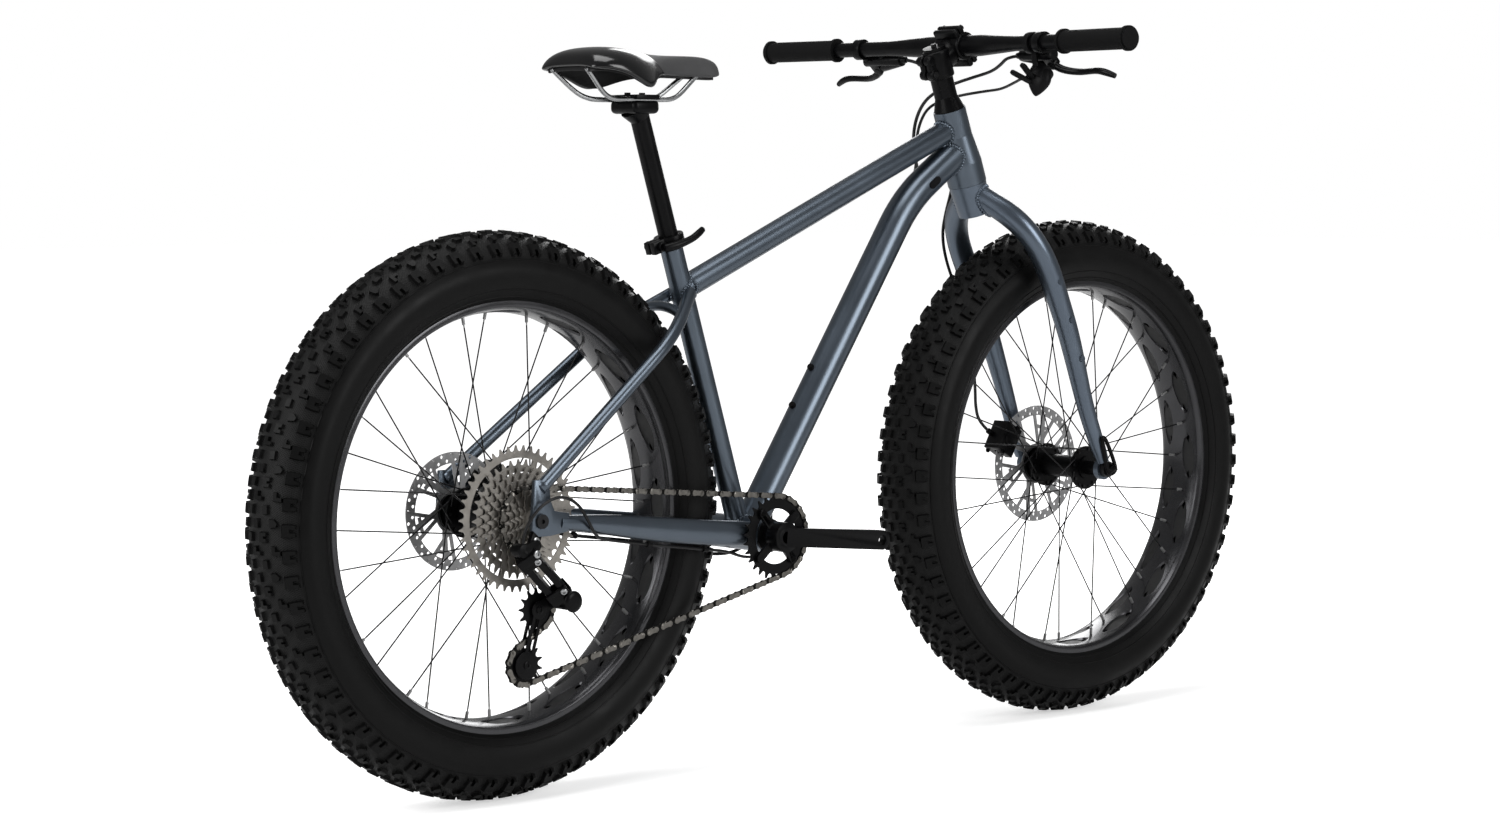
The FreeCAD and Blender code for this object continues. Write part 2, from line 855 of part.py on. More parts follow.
tyre_shoulder_share = 0.7
tyre_waist_share = 0.93


def tyre(centre):
    wall = rim_width / 2 - rim_wall - seat_fit
    top = rim_seat_radius + rim_flange + clear_gap
    seat = rim_seat_radius + seat_fit
    half = tyre_width / 2
    shoulder = top + (tyre_radius - top) * tyre_shoulder_share
    waist = (top + shoulder) / 2
    skin = tyre_wall + tyre_tread

    def at(radius, place):
        return centre + V(0, place, radius)

    def line(start, end):
        return Part.LineSegment(at(*start), at(*end)).toShape()

    def arc(start, middle, end):
        return Part.Arc(at(*start), at(*middle), at(*end)).toShape()

    lip = (top, rim_width / 2)
    edge = (shoulder, half)
    bulge = (waist, half * tyre_waist_share)
    inner_edge = (shoulder - tyre_wall, half - skin)
    inner_bulge = (waist, half * tyre_waist_share - tyre_wall)
    foot = (seat, wall - tyre_bead)

    def flip(point):
        return (point[0], -point[1])

    def side(sign):
        points = [(seat, wall), (top, wall), lip, bulge, edge, inner_edge, inner_bulge, foot]
        return points if sign > 0 else [flip(point) for point in points]

    edges = [
        arc(edge, (tyre_radius, 0), flip(edge)),
        arc(inner_edge, (tyre_radius - skin, 0), flip(inner_edge)),
    ]
    for sign in (1, -1):
        heel, climb, out, swell, rim_edge, back, back_swell, toe = side(sign)
        edges += [line(toe, heel), line(heel, climb), line(climb, out), arc(out, swell, rim_edge)]
        edges.append(arc(toe, back_swell, back))
    outline = Part.Wire(Part.__sortEdges__(edges))
    return Part.Face(outline).revolve(centre, left, 360)


def spokes_and_holes(centre, flanges, flange_radius):
    hole_circle = flange_radius - flange_rim
    well = rim_seat_radius - rim_well_depth
    cross = spoke_crosses * 4 * math.pi / spoke_count
    step = 8 * math.pi / spoke_count
    spokes = []
    flange_holes = []
    rim_holes = []
    for flange_side, flange in zip((1, -1), flanges):
        for lead in (1, -1):
            start_angle = (1 - flange_side) * math.pi / spoke_count + (1 - lead) * step / 4
            outside = left * (lead * flange_side)
            reach = hub_flange_thickness / 2 + spoke_radius + seat_fit
            hole = wheel_point(centre, hole_circle, start_angle, flange_side * flange)
            start = hole + outside * reach
            end = wheel_point(
                centre,
                well + rim_wall / 2,
                start_angle + lead * cross,
                flange_side * rim_hole_offset,
            )
            heading = (end - start).normalize()
            elbow_end = hole - outside * reach
            elbow = rod(start, elbow_end, spoke_radius)
            knuckle = Part.makeSphere(spoke_radius, start)
            head = rod(elbow_end, elbow_end - outside * spoke_radius, nipple_radius)
            nipple = rod(end - heading * nipple_length, end, nipple_radius)
            head_gap = rod(
                elbow_end - outside * spoke_radius,
                hole + outside * reach,
                spoke_radius + seat_fit,
            )
            groove = rod(start, start + heading * flange_radius, spoke_radius + running_fit)
            drill = rod(end - heading * nipple_length, end + heading * overrun, nipple_radius + seat_fit)
            spoke = fused([rod(start, end, spoke_radius), knuckle, elbow, head, nipple])
            for turn in range(spoke_count // 4):
                degrees = math.degrees(step) * turn
                for shape, group in (
                    (spoke, spokes),
                    (head_gap, flange_holes),
                    (groove, flange_holes),
                    (drill, rim_holes),
                ):
                    copy = shape.copy()
                    copy.rotate(centre, left, -degrees)
                    group.append(copy)
    return spokes, flange_holes, rim_holes


def ring_windows(centre, inner, outer, count, gap, swirl, place):
    wires = []
    for index in range(count):
        start = 2 * math.pi * index / count
        end = 2 * math.pi * (index + 1) / count
        low = [start + gap / 2 / inner, end - gap / 2 / inner]
        high = [start + gap / 2 / outer + swirl, end - gap / 2 / outer + swirl]
        corners = [wheel_point(centre, outer, angle, place) for angle in high]
        corners += [wheel_point(centre, inner, angle, place) for angle in reversed(low)]
        crest = wheel_point(centre, outer, sum(high) / 2, place)
        base = wheel_point(centre, inner, sum(low) / 2, place)
        wires.append(Part.Wire([
            Part.Arc(corners[0], crest, corners[1]).toShape(),
            Part.LineSegment(corners[1], corners[2]).toShape(),
            Part.Arc(corners[2], base, corners[3]).toShape(),
            Part.LineSegment(corners[3], corners[0]).toShape(),
        ]))
    return wires


def plate_of(outer, holes, thickness):
    face = Part.Face(outer)
    cutters = [Part.Face(hole) for hole in holes]
    face = face.cut(Part.makeCompound(cutters))
    return face.extrude(left * thickness)


rotor_swirl_share = 0.3


def rotor(centre, place, radius):
    low = place - rotor_thickness / 2
    middle = centre + left * low
    inner = rotor_seat_radius + rotor_hub_ring
    band = radius - rotor_band
    holes = [circle(middle, left, hub_cap_radius + seat_fit)]
    holes += ring_windows(centre, inner, band, rotor_arms, rotor_arm_width, rotor_swirl_share, low)
    for row_share in (0.25, 0.75):
        for index in range(rotor_hole_count):
            angle = 2 * math.pi * (index + row_share) / rotor_hole_count
            spot = wheel_point(centre, band + rotor_band * row_share, angle, low)
            holes.append(circle(spot, left, rotor_hole_radius))
    bolts = []
    bolt_holes = []
    for index in range(rotor_arms):
        angle = 2 * math.pi * index / rotor_arms
        spot = wheel_point(centre, rotor_bolt_circle, angle, low)
        holes.append(circle(spot, left, rotor_bolt_radius + seat_fit))
        face = spot + left * rotor_thickness
        shank = rod(spot - left * rotor_bolt_height, face, rotor_bolt_radius)
        bolts.append(fused([shank, rod(face, face + left * rotor_bolt_height, rotor_bolt_head)]))
        bolt_holes.append(rod(spot - left * rotor_bolt_height, face, rotor_bolt_radius + seat_fit))
    disc = plate_of(circle(middle, left, radius), holes, rotor_thickness)
    return disc, bolts, bolt_holes


def hub(centre, ends, flanges, flange_radius, barrel_radius, rotor_face, bore, holes):
    def drum(start, end, radius):
        return rod(centre + left * start, centre + left * end, radius)

    half = hub_flange_thickness / 2
    flange_left, flange_right = flanges
    body = [
        drum(-ends[1], ends[0], hub_cap_radius),
        drum(-flange_right, flange_left, barrel_radius),
        drum(flange_left - half, flange_left + half, flange_radius),
        drum(-flange_right - half, -flange_right + half, flange_radius),
        drum(flange_left, rotor_face, rotor_seat_radius - rotor_hub_ring),
        drum(rotor_face - hub_cap_length / 2, rotor_face, rotor_seat_radius),
        drum(-flange_right - hub_cap_length / 2, -flange_right, barrel_radius),
    ]
    solid = fused(body).cut(drum(-ends[1] - overrun, ends[0] + overrun, bore))
    return solid.cut(Part.makeCompound(holes))


def add_wheel(
    name,
    centre,
    width,
    right_end,
    flanges,
    flange_radius,
    barrel_radius,
    axle_radius,
    rotor_radius,
):
    spokes, flange_holes, rim_holes = spokes_and_holes(centre, flanges, flange_radius)
    rotor_place = width / 2 - rotor_offset
    disc, bolts, bolt_holes = rotor(centre, rotor_place, rotor_radius)
    ends = (width / 2 - clear_gap / 2, right_end)
    rotor_face = rotor_place - rotor_thickness / 2
    holes = flange_holes + bolt_holes
    add(
        name + "_hub",
        hub(
            centre,
            ends,
            flanges,
            flange_radius,
            barrel_radius,
            rotor_face,
            axle_radius + running_fit,
            holes,
        ),
    )
    add(name + "_rim", rim(centre).cut(Part.makeCompound(rim_holes)))
    add(name + "_tyre", tyre(centre))
    add(name + "_spokes", spokes)
    add(name + "_rotor", [disc] + bolts)


freehub_start = rear_flange_right + hub_cap_length
front_end = front_hub_width / 2 - clear_gap / 2
front_flanges = (front_flange_left, front_flange_right)
rear_flanges = (rear_flange_left, rear_flange_right)
add_wheel("front", front_axle, front_hub_width, front_end, front_flanges, front_flange_radius,
          front_barrel_radius, front_axle_radius, front_rotor_radius)
add_wheel("rear", rear_axle, rear_hub_width, freehub_start - clear_gap, rear_flanges, rear_flange_radius,
          rear_barrel_radius, rear_axle_radius, rear_rotor_radius)

# Chain path round the ring, the cog in use and the two pulleys
mech_base = rear_axle - V(mech_back, 0, mech_drop)
mech_axle = rear_axle + V(mech_reach, 0, -mech_fall)


def pitch_radius(teeth):
    return teeth * chain_pitch * pitch_share


def pulley_places(swing):
    turn = FreeCAD.Rotation(left, swing)
    guide = mech_axle + turn.multVec(V(-guide_back, 0, -guide_drop))
    tension = mech_axle + turn.multVec(V(-tension_back, 0, -tension_drop))
    return guide, tension


def chain_loop(swing):
    guide, tension = pulley_places(swing)
    stops = [
        (bb, pitch_radius(ring_teeth), 1),
        (rear_axle, pitch_radius(cog_teeth[cog_in_use]), 1),
        (guide, pitch_radius(pulley_teeth), -1),
        (tension, pitch_radius(pulley_teeth), 1),
    ]
    leave = []
    arrive = [None] * len(stops)
    for index, (here, radius, sense) in enumerate(stops):
        there, next_radius, next_sense = stops[(index + 1) % len(stops)]
        span = there - here
        along = V(span.x, 0, span.z).normalize()
        across = V(-along.z, 0, along.x)
        lean = (sense * radius - next_sense * next_radius) / span.Length
        normal = along * lean - across * math.sqrt(1 - lean ** 2)
        leave.append(here + normal * (sense * radius))
        arrive[(index + 1) % len(stops)] = there + normal * (next_sense * next_radius)
    pieces = []
    for index, (here, radius, sense) in enumerate(stops):
        start = math.atan2(arrive[index].z - here.z, arrive[index].x - here.x)
        end = math.atan2(leave[index].z - here.z, leave[index].x - here.x)
        sweep = (sense * (end - start)) % (2 * math.pi)
        pieces.append(("arc", here, radius, start, sense, radius * sweep))
        run = arrive[(index + 1) % len(stops)] - leave[index]
        length = run.Length
        pieces.append(("line", leave[index], length, run * (1 / length), index, length))
    return pieces


def loop_length(swing):
    return sum(piece[5] for piece in chain_loop(swing))


link_pairs = round(loop_length(0) / chain_pitch / 2)
wanted_length = link_pairs * 2 * chain_pitch
swing_low = -30.0
swing_high = 30.0
for step in range(60):
    swing = (swing_low + swing_high) / 2
    if (loop_length(swing) - wanted_length) * (loop_length(swing_low) - wanted_length) > 0:
        swing_low = swing
    else:
        swing_high = swing
print("chain links", link_pairs * 2, "cage swing", round(swing, 3))
guide_centre, tension_centre = pulley_places(swing)
chain_side = V(0, -chain_line, 0)


def loop_point(distance, pieces):
    for kind, centre, size, angle, sense, length in pieces:
        if distance <= length:
            if kind == "line":
                return centre + angle * distance, None
            turned_to = angle + sense * distance / size
            return wheel_point(V(centre.x, 0, centre.z), size, turned_to, 0), (centre, turned_to)
        distance -= length
    return loop_point(0, pieces)


pieces = chain_loop(swing)
rollers = []
phases = {}
for index in range(link_pairs * 2):
    spot, seat = loop_point(index * chain_pitch, pieces)
    rollers.append(spot + chain_side)
    if seat is not None:
        phases[(round(seat[0].x), round(seat[0].z))] = seat[1]


def phase_at(centre):
    return phases[(round(centre.x), round(centre.z))]


def link_wire(place):
    half = chain_pitch / 2
    reach = half + link_end_radius
    edges = []
    for end in (1, -1):
        low = V(end * half, place, -end * link_end_radius)
        high = V(end * half, place, end * link_end_radius)
        edges.append(Part.Arc(low, V(end * reach, place, 0), high).toShape())
        far = V(-end * half, place, end * link_end_radius)
        edges.append(Part.Arc(high, V(0, place, end * link_waist), far).toShape())
    return Part.Wire(Part.__sortEdges__(edges))


def link_plates(inner_face):
    plates = []
    for side in (1, -1):
        start = inner_face if side > 0 else -inner_face - link_plate
        plates.append(Part.Face(link_wire(start)).extrude(left * link_plate))
    return plates


outer_face = link_inner_half + link_plate + link_side_gap
pin_half = left * (outer_face + link_plate)
roller_half = left * link_inner_half
inner_shapes = link_plates(link_inner_half)
outer_shapes = link_plates(outer_face)
inner_bores = []
for end in (1, -1):
    spot = V(end * chain_pitch / 2, 0, 0)
    inner_shapes.append(rod(spot - roller_half, spot + roller_half, roller_radius))
    outer_shapes.append(rod(spot - pin_half, spot + pin_half, chain_pin_radius))
    inner_bores.append(rod(spot - pin_half, spot + pin_half, chain_hole_radius))
inner_link = fused(inner_shapes).cut(Part.makeCompound(inner_bores))
outer_link = fused(outer_shapes)
links = []
for index, spot in enumerate(rollers):
    after = rollers[(index + 1) % len(rollers)]
    heading = after - spot
    link = (inner_link if index % 2 else outer_link).copy()
    turn = FreeCAD.Rotation(left, math.degrees(math.atan2(-heading.z, heading.x)))
    link.Placement = FreeCAD.Placement((spot + after) * (1 / 2), turn)
    links.append(link)
add("chain", links)

# Toothed wheels
tooth_flank_share = 0.83


def toothed_wire(centre, teeth, phase):
    pitch = pitch_radius(teeth)
    tip = pitch + tooth_height
    gullet = roller_radius + tooth_gap
    edges = []
    spread = tooth_flank_share * math.pi / 2
    half_tooth = math.pi / teeth
    tip_angle = tooth_tip_half / tip

    def seat_point(angle, lean):
        outward = V(math.cos(angle), 0, math.sin(angle))
        across = V(-math.sin(angle), 0, math.cos(angle))
        return centre + outward * (pitch - gullet * math.cos(lean)) + across * (gullet * math.sin(lean))

    for index in range(teeth):
        angle = phase + 2 * half_tooth * index
        low = seat_point(angle, -spread)
        high = seat_point(angle, spread)
        first = wheel_point(centre, tip, angle + half_tooth - tip_angle, 0)
        second = wheel_point(centre, tip, angle + half_tooth + tip_angle, 0)
        after = seat_point(angle + 2 * half_tooth, -spread)
        edges.append(Part.Arc(low, seat_point(angle, 0), high).toShape())
        edges.append(Part.LineSegment(high, first).toShape())
        edges.append(Part.LineSegment(first, second).toShape())
        edges.append(Part.LineSegment(second, after).toShape())
    return Part.Wire(edges)


# Cassette of ten cogs, spacers and the freehub body that carries them
cogs = []
spacer_half = (cog_spacing - cog_thickness) / 2
for index, teeth in enumerate(cog_teeth):
    middle = -chain_line - (cog_in_use - index) * cog_spacing
    low = rear_axle + left * (middle - cog_thickness / 2)
    holes = [circle(low, left, freehub_radius + seat_fit)]
    rim_inside = pitch_radius(teeth) - roller_radius - cog_rim_depth
    if rim_inside > cog_hub_radius + cog_rim_depth:
        swirl = rotor_swirl_share / 2
        place = middle - cog_thickness / 2
        holes += ring_windows(
            rear_axle,
            cog_hub_radius,
            rim_inside,
            rotor_arms,
            rotor_arm_width,
            swirl,
            place,
        )
    cogs.append(plate_of(toothed_wire(low, teeth, phase_at(rear_axle)), holes, cog_thickness))
    if index < len(cog_teeth) - 1:
        spacer_low = low + left * cog_thickness
        spacer_high = spacer_low + left * (spacer_half * 2)
        cogs.append(sleeve(spacer_low, spacer_high, cog_spacer_radius, freehub_radius + seat_fit))
freehub_end = rear_hub_width / 2 - clear_gap / 2
freehub = sleeve(rear_axle - left * freehub_end, rear_axle - left * freehub_start, freehub_radius,
                 rear_axle_radius + running_fit)
cog_shoulder = rear_axle + left * (
    -chain_line + (len(cog_teeth) - 1 - cog_in_use) * cog_spacing + cog_thickness / 2
)
shoulder = sleeve(cog_shoulder, rear_axle - left * freehub_start, cog_spacer_radius, freehub_radius)
freehub = fused([freehub, shoulder])
add("cassette", cogs + [freehub])

# Chainring and crank arms
ring_low = bb + chain_side - left * (ring_thickness / 2)
ring_inside = pitch_radius(ring_teeth) - roller_radius - ring_band
ring_holes = [circle(ring_low, left, ring_inside)]
arm_heading = V(math.cos(math.radians(crank_angle)), 0, math.sin(math.radians(crank_angle)))
bolt_turns = [math.radians(crank_angle) + math.pi / 4 + math.pi / 2 * index for index in range(4)]
for angle in bolt_turns:
    ring_holes.append(
        circle(wheel_point(ring_low, ring_bolt_circle, angle, 0), left, ring_bolt_radius + seat_fit)
    )
ring = plate_of(toothed_wire(ring_low, ring_teeth, phase_at(bb)), ring_holes, ring_thickness)
spider_low = ring_low - left * spider_thickness
right_face = bb - left * crank_outer
boss_end = right_face + left * crank_boss_depth
right_shapes = [rod(right_face, boss_end, crank_boss_radius)]
ring_bolts = []
for angle in bolt_turns:
    tip = wheel_point(spider_low, ring_bolt_circle, angle, 0)
    right_shapes.append(bar_plate(spider_low, tip, spider_arm_width / 2, left, spider_thickness))
    ring_bolts.append(rod(tip, tip + left * (spider_thickness + ring_thickness), ring_bolt_radius))


def crank_arm(side, heading):
    base = bb + left * (side * (crank_outer - crank_thickness / 2))
    tip = base + heading * crank_length + left * (side * crank_flare)
    up = heading.cross(left)
    ends = []
    for place, width in ((base, crank_width), (tip, crank_end_radius * 2)):
        first = left * (crank_thickness / 2)
        second = up * (width / 2)
        corners = [
            place + first + second,
            place + first - second,
            place - first - second,
            place - first + second,
        ]
        ends.append(Part.makePolygon(corners + corners[:1]))
    eye = rod(tip - left * (crank_thickness / 2), tip + left * (crank_thickness / 2), crank_end_radius)
    thread = rod(tip - left * crank_thickness, tip + left * crank_thickness, pedal_thread_radius)
    return [Part.makeLoft(ends, True, True), eye], thread


spindle_left = bb + left * crank_outer
spindle = rod(right_face, spindle_left, spindle_radius)
spindle_bore_hole = rod(
    right_face - left * overrun,
    spindle_left + left * overrun,
    spindle_radius * spindle_bore_share,
)
right_arm, right_thread = crank_arm(-1, arm_heading)
left_arm, left_thread = crank_arm(1, arm_heading * -1)
right_crank = fused(right_shapes + right_arm).cut(spindle).cut(right_thread)
right_crank = right_crank.cut(Part.makeCompound(ring_bolts))
left_boss = rod(spindle_left - left * crank_boss_depth, spindle_left, crank_boss_radius)
spindle_hole = rod(
    spindle_left - left * (crank_boss_depth + overrun),
    spindle_left + left * overrun,
    spindle_radius + seat_fit,
)
left_crank = fused([left_boss] + left_arm).cut(spindle_hole).cut(left_thread)
add("crank_arms", [right_crank, left_crank, spindle.cut(spindle_bore_hole)] + ring_bolts)
add("chainring", ring)

# Rear derailleur: hanger, bracket, two links, knuckle, cage and pulleys
mech_run = (mech_axle - mech_base).normalize()
mech_across = V(-mech_run.z, 0, mech_run.x)
mech_slope = math.radians(mech_slant)
mech_inward = left * math.cos(mech_slope) - mech_across * math.sin(mech_slope)
mech_pin_axis = mech_run.cross(mech_inward)
link_base = mech_base + mech_run * link_start - left * mech_plane
link_tip = link_base + mech_run * link_length
tab_offset = link_width / 2 + tab_gap
pin_reach = mech_pin_axis * (tab_offset + tab_thickness)


def link_pins(centre, radius):
    pins = []
    for side in (1, -1):
        spot = centre + mech_inward * (side * link_offset)
        pins.append(rod(spot - pin_reach, spot + pin_reach, radius))
    return pins


def clevis(centre, facing):
    shapes = []
    axes = (mech_run, mech_inward, mech_pin_axis)
    breadth = (link_offset + tab_reach) * 2
    middle = centre + facing * ((wall_gap + wall_thickness - tab_reach) / 2)
    for side in (1, -1):
        height = mech_pin_axis * (side * (tab_offset + tab_thickness / 2))
        shapes.append(
            block(middle + height, axes, (wall_gap + wall_thickness + tab_reach, breadth, tab_thickness))
        )
    wall = centre + facing * (wall_gap + wall_thickness / 2)
    shapes.append(block(wall, axes, (wall_thickness, breadth, (tab_offset + tab_thickness) * 2)))
    return shapes


dropout_inside = rear_hub_width / 2
dropout_outside = dropout_inside + dropout_thickness
hanger_bolt = rear_axle - V(hanger_back, 0, hanger_drop)
hanger_top = rear_axle - V(hanger_back, 0, hanger_drop) * (1 / 2)
hanger_side = left * dropout_outside
hanger = bar_plate(
    hanger_top - hanger_side,
    hanger_bolt - hanger_side,
    hanger_width / 2,
    left,
    hanger_thickness,
)
hanger = hanger.cut(dropouts[1]).cut(axle_bolt)
bracket_side = left * (dropout_outside + mech_link_thickness)
hanger_screw = rod(hanger_bolt - bracket_side, hanger_bolt - left * dropout_inside, mech_bolt_radius)
hanger = hanger.cut(
    rod(
        hanger_bolt - bracket_side,
        hanger_bolt - left * (dropout_inside - overrun),
        mech_bolt_radius + seat_fit,
    )
)
bracket_shapes = [
    bar_plate(
        hanger_bolt - bracket_side,
        mech_base - bracket_side,
        hanger_width / 2,
        left,
        mech_link_thickness,
    ),
    hanger_screw,
    rod(mech_base - bracket_side, mech_base - left * (mech_plane - knuckle_radius), mech_boss_radius),
    rod(mech_base - left * mech_plane, link_base - mech_run * wall_gap, mech_neck_radius),
]
hanger_room = bar_plate(
    hanger_top - hanger_side,
    hanger_bolt - hanger_side,
    hanger_width / 2 + clear_gap,
    left,
    hanger_thickness,
)
fork_piece = fused(clevis(link_base, mech_run * -1)).cut(hanger_room)
bracket = fused(bracket_shapes + [fork_piece])
bracket = bracket.cut(Part.makeCompound(link_pins(link_base, link_pin_radius + running_fit)))
link_room = [bar_plate(link_base + mech_inward * (side * link_offset) - mech_pin_axis * tab_offset,
                       link_tip + mech_inward * (side * link_offset) - mech_pin_axis * tab_offset,
                       wall_gap - clear_gap, mech_pin_axis, tab_offset * 2) for side in (1, -1)]
bracket = bracket.cut(Part.makeCompound(link_room))
add("derailleur_mount", [hanger, bracket])

knuckle_near = left * (chain_line + cage_gap + cage_plate + knuckle_gap)
knuckle_far = left * knuckle_face
pivot_depth = left * (knuckle_face - tab_thickness)
knuckle_shapes = clevis(link_tip, mech_run)
knuckle_shapes.append(rod(mech_axle - knuckle_far, mech_axle - knuckle_near, knuckle_radius))
knuckle_shapes.append(rod(mech_axle - left * mech_plane, link_tip + mech_run * wall_gap, mech_neck_radius))
knuckle = fused(knuckle_shapes)
knuckle = knuckle.cut(
    rod(mech_axle - pivot_depth, mech_axle - knuckle_near + left * overrun, cage_pivot_radius + running_fit)
)
knuckle = knuckle.cut(Part.makeCompound(link_pins(link_tip, link_pin_radius + running_fit)))
knuckle = knuckle.cut(Part.makeCompound(link_room))
cage_side = chain_line + cage_gap + cage_plate + clear_gap - cage_nose * 2
cage_room = block(
    mech_axle - left * cage_side,
    (V(1, 0, 0), left, V(0, 0, 1)),
    (cage_nose * 8, cage_nose * 4, cage_nose * 8),
)
knuckle = knuckle.cut(cage_room)
add("derailleur_knuckle", knuckle)

base_pins = link_pins(link_base, link_pin_radius)
tip_pins = link_pins(link_tip, link_pin_radius)
for index, name in enumerate(("derailleur_inner_link", "derailleur_outer_link")):
    shift = mech_inward * ((1 - 2 * index) * link_offset) - mech_pin_axis * (link_width / 2)
    bar = bar_plate(link_base + shift, link_tip + shift, link_half, mech_pin_axis, link_width)
    add(name, fused([bar, base_pins[index], tip_pins[index]]))

cage_outer = left * (chain_line + cage_gap + cage_plate)
cage_inner = left * (chain_line - cage_gap)
cage_far = left * (chain_line - cage_gap - cage_plate)
cage_shapes = [
    bar_plate(mech_axle - cage_outer, guide_centre - cage_outer, cage_head_radius, left, cage_plate),
    bar_plate(guide_centre - cage_outer, tension_centre - cage_outer, cage_width / 2, left, cage_plate),
    rod(tension_centre - cage_outer, tension_centre - cage_outer + left * cage_plate, cage_nose),
    bar_plate(guide_centre - cage_inner, tension_centre - cage_inner, cage_width / 2, left, cage_plate),
    rod(guide_centre - cage_outer, guide_centre - cage_far, pulley_bolt_radius),
    rod(tension_centre - cage_outer, tension_centre - cage_far, pulley_bolt_radius),
    rod(
        mech_axle - pivot_depth + left * clear_gap,
        mech_axle - cage_outer + left * cage_plate,
        cage_pivot_radius,
    ),
]
add("derailleur_cage", fused(cage_shapes))


def pulley(centre):
    low = centre + chain_side - left * (pulley_thickness / 2)
    bore = circle(low, left, pulley_bolt_radius + running_fit)
    disc = plate_of(toothed_wire(low, pulley_teeth, phase_at(centre)), [bore], pulley_thickness)
    boss_half = left * (cage_gap - clear_gap)
    middle = centre + chain_side
    return fused(
        [
            disc,
            sleeve(
                middle - boss_half,
                middle + boss_half,
                pulley_boss_radius,
                pulley_bolt_radius + running_fit,
            ),
        ]
    )


add("upper_pulley", pulley(guide_centre))
add("lower_pulley", pulley(tension_centre))

# Fork: steerer with crown, then the two legs
stem_base = head_top + steer_up * (clear_gap + cover_height + spacer_height * 2)
stem_top = stem_base + steer_up * stem_height
stem_mid = (stem_base + stem_top) * (1 / 2)
crown_top = head_low - steer_up * clear_gap
crown_foot = crown_top - steer_up * crown_height
taper_start = head_low + steer_up * steerer_low_length
taper_end = taper_start + steer_up * steerer_taper
steerer_end = stem_top - steer_up * steerer_recess
crown_solid = cone(crown_top, crown_foot, crown_radius, crown_foot_radius)
steerer = fused([
    crown_solid,
    rod(crown_top, taper_start, steerer_low_radius),
    cone(taper_start, taper_end, steerer_low_radius, steerer_top_radius),
    rod(taper_end, steerer_end, steerer_top_radius),
])
steerer_bore = rod(
    crown_foot - steer_up * overrun,
    steerer_end + steer_up * overrun,
    steerer_top_radius - steerer_wall,
)
add("fork_steerer", steerer.cut(steerer_bore))

leg_fall_shares = (0.046, 0.093, 0.166, 0.245, 0.415, 0.622, 0.83, 0.913, 0.972)
leg_rake_shares = (0.071, 0.214, 0.411, 0.571, 0.786, 0.884, 0.911, 0.946, 0.982)
leg_side_shares = (0.193, 0.506, 0.843, 0.988, 1.012, 1.0, 0.988, 1.012, 1.024)
leg_thick_shares = (1.0, 1.0, 1.0, 1.0, 0.97, 0.86, 0.72, 0.66, 0.54)


def leg_station(index, side):
    fall = steer_up * (fork_length * leg_fall_shares[index])
    rake = steer_fwd * (fork_rake * leg_rake_shares[index])
    return head_low - fall + rake + left * (side * leg_spread * leg_side_shares[index])


def leg_between(place, side):
    share = place / fork_length
    for index in range(len(leg_fall_shares) - 1):
        low = leg_fall_shares[index]
        high = leg_fall_shares[index + 1]
        if low <= share <= high:
            part = (share - low) / (high - low)
            spot = leg_station(index, side) * (1 - part) + leg_station(index + 1, side) * part
            thick = leg_thick_shares[index] * (1 - part) + leg_thick_shares[index + 1] * part
            return spot, leg_radius * thick


def fork_leg(side):
    stations = [leg_station(index, side) for index in range(len(leg_fall_shares))]
    rings = []
    for index, spot in enumerate(stations):
        before = stations[max(index - 1, 0)]
        after = stations[min(index + 1, len(stations) - 1)]
        rings.append(circle(spot, after - before, leg_radius * leg_thick_shares[index]))
    outward = left * side
    face = front_axle + outward * (front_hub_width / 2)
    shapes = [
        Part.makeLoft(rings, True, False),
        rod(face, face + outward * leg_foot_thickness, leg_foot_radius),
    ]
    for place in leg_boss_places:
        spot, thick = leg_between(place, side)
        shapes.append(rod(spot, spot + outward * (thick + boss_height), boss_radius))
    leg = fused(shapes)
    hub_room = rod(front_axle, face, hub_cap_radius + overrun)
    hole = rod(
        face - outward * overrun,
        face + outward * (leg_foot_thickness + overrun * 4),
        front_axle_radius + seat_fit,
    )
    return leg.cut(crown_solid).cut(steerer_bore).cut(hub_room).cut(hole)


legs = [fork_leg(1), fork_leg(-1)]
add("fork_legs", legs)

# Headset cover, spacers and top cap
spacer_bore = steerer_top_radius + seat_fit
cover_base = head_top + steer_up * clear_gap
cover_end = cover_base + steer_up * cover_height
cover_shape = cone(cover_base, cover_end, cover_radius, cover_top_radius)
cover_shape = cover_shape.cut(rod(cover_base, cover_end, spacer_bore))
spacer_shapes = [cover_shape]
for index in range(2):
    low = cover_end + steer_up * (spacer_height * index)
    spacer_shapes.append(sleeve(low, low + steer_up * spacer_height, spacer_radius, spacer_bore))
cap_end = stem_top + steer_up * top_cap_height
spacer_shapes.append(rod(stem_top, cap_end, spacer_radius))
add("headset_spacers", spacer_shapes)

# Stem, its faceplate and the bolts of the cockpit
bar_centre = stem_mid + steer_up * stem_rise + steer_fwd * stem_reach
stem_out = (bar_centre - stem_mid).normalize()
stem_rise_dir = stem_out.cross(left) * -1
clamp_outer = bar_clamp_radius + bar_clamp_wall
clamp_side = left * bar_clamp_half
stem_axes = (stem_out, left, stem_rise_dir)
clamp_bolt_rise = clamp_outer + bolt_head_radius
ear_size = (clamp_ear_depth, bar_clamp_half * 2, (clamp_bolt_rise + bolt_head_radius) * 2)
clamp_shape = fused(
    [
        rod(bar_centre - clamp_side, bar_centre + clamp_side, clamp_outer),
        block(bar_centre, stem_axes, ear_size),
    ]
)
bar_room = rod(bar_centre - clamp_side * 2, bar_centre + clamp_side * 2, bar_clamp_radius + seat_fit)
front_depth = clamp_outer * 4
front_block = block(
    bar_centre + stem_out * (front_depth / 2),
    stem_axes,
    (front_depth, front_depth, front_depth),
)
rear_cut = front_block.copy()
rear_cut.translate(stem_out * (-faceplate_gap / 2))
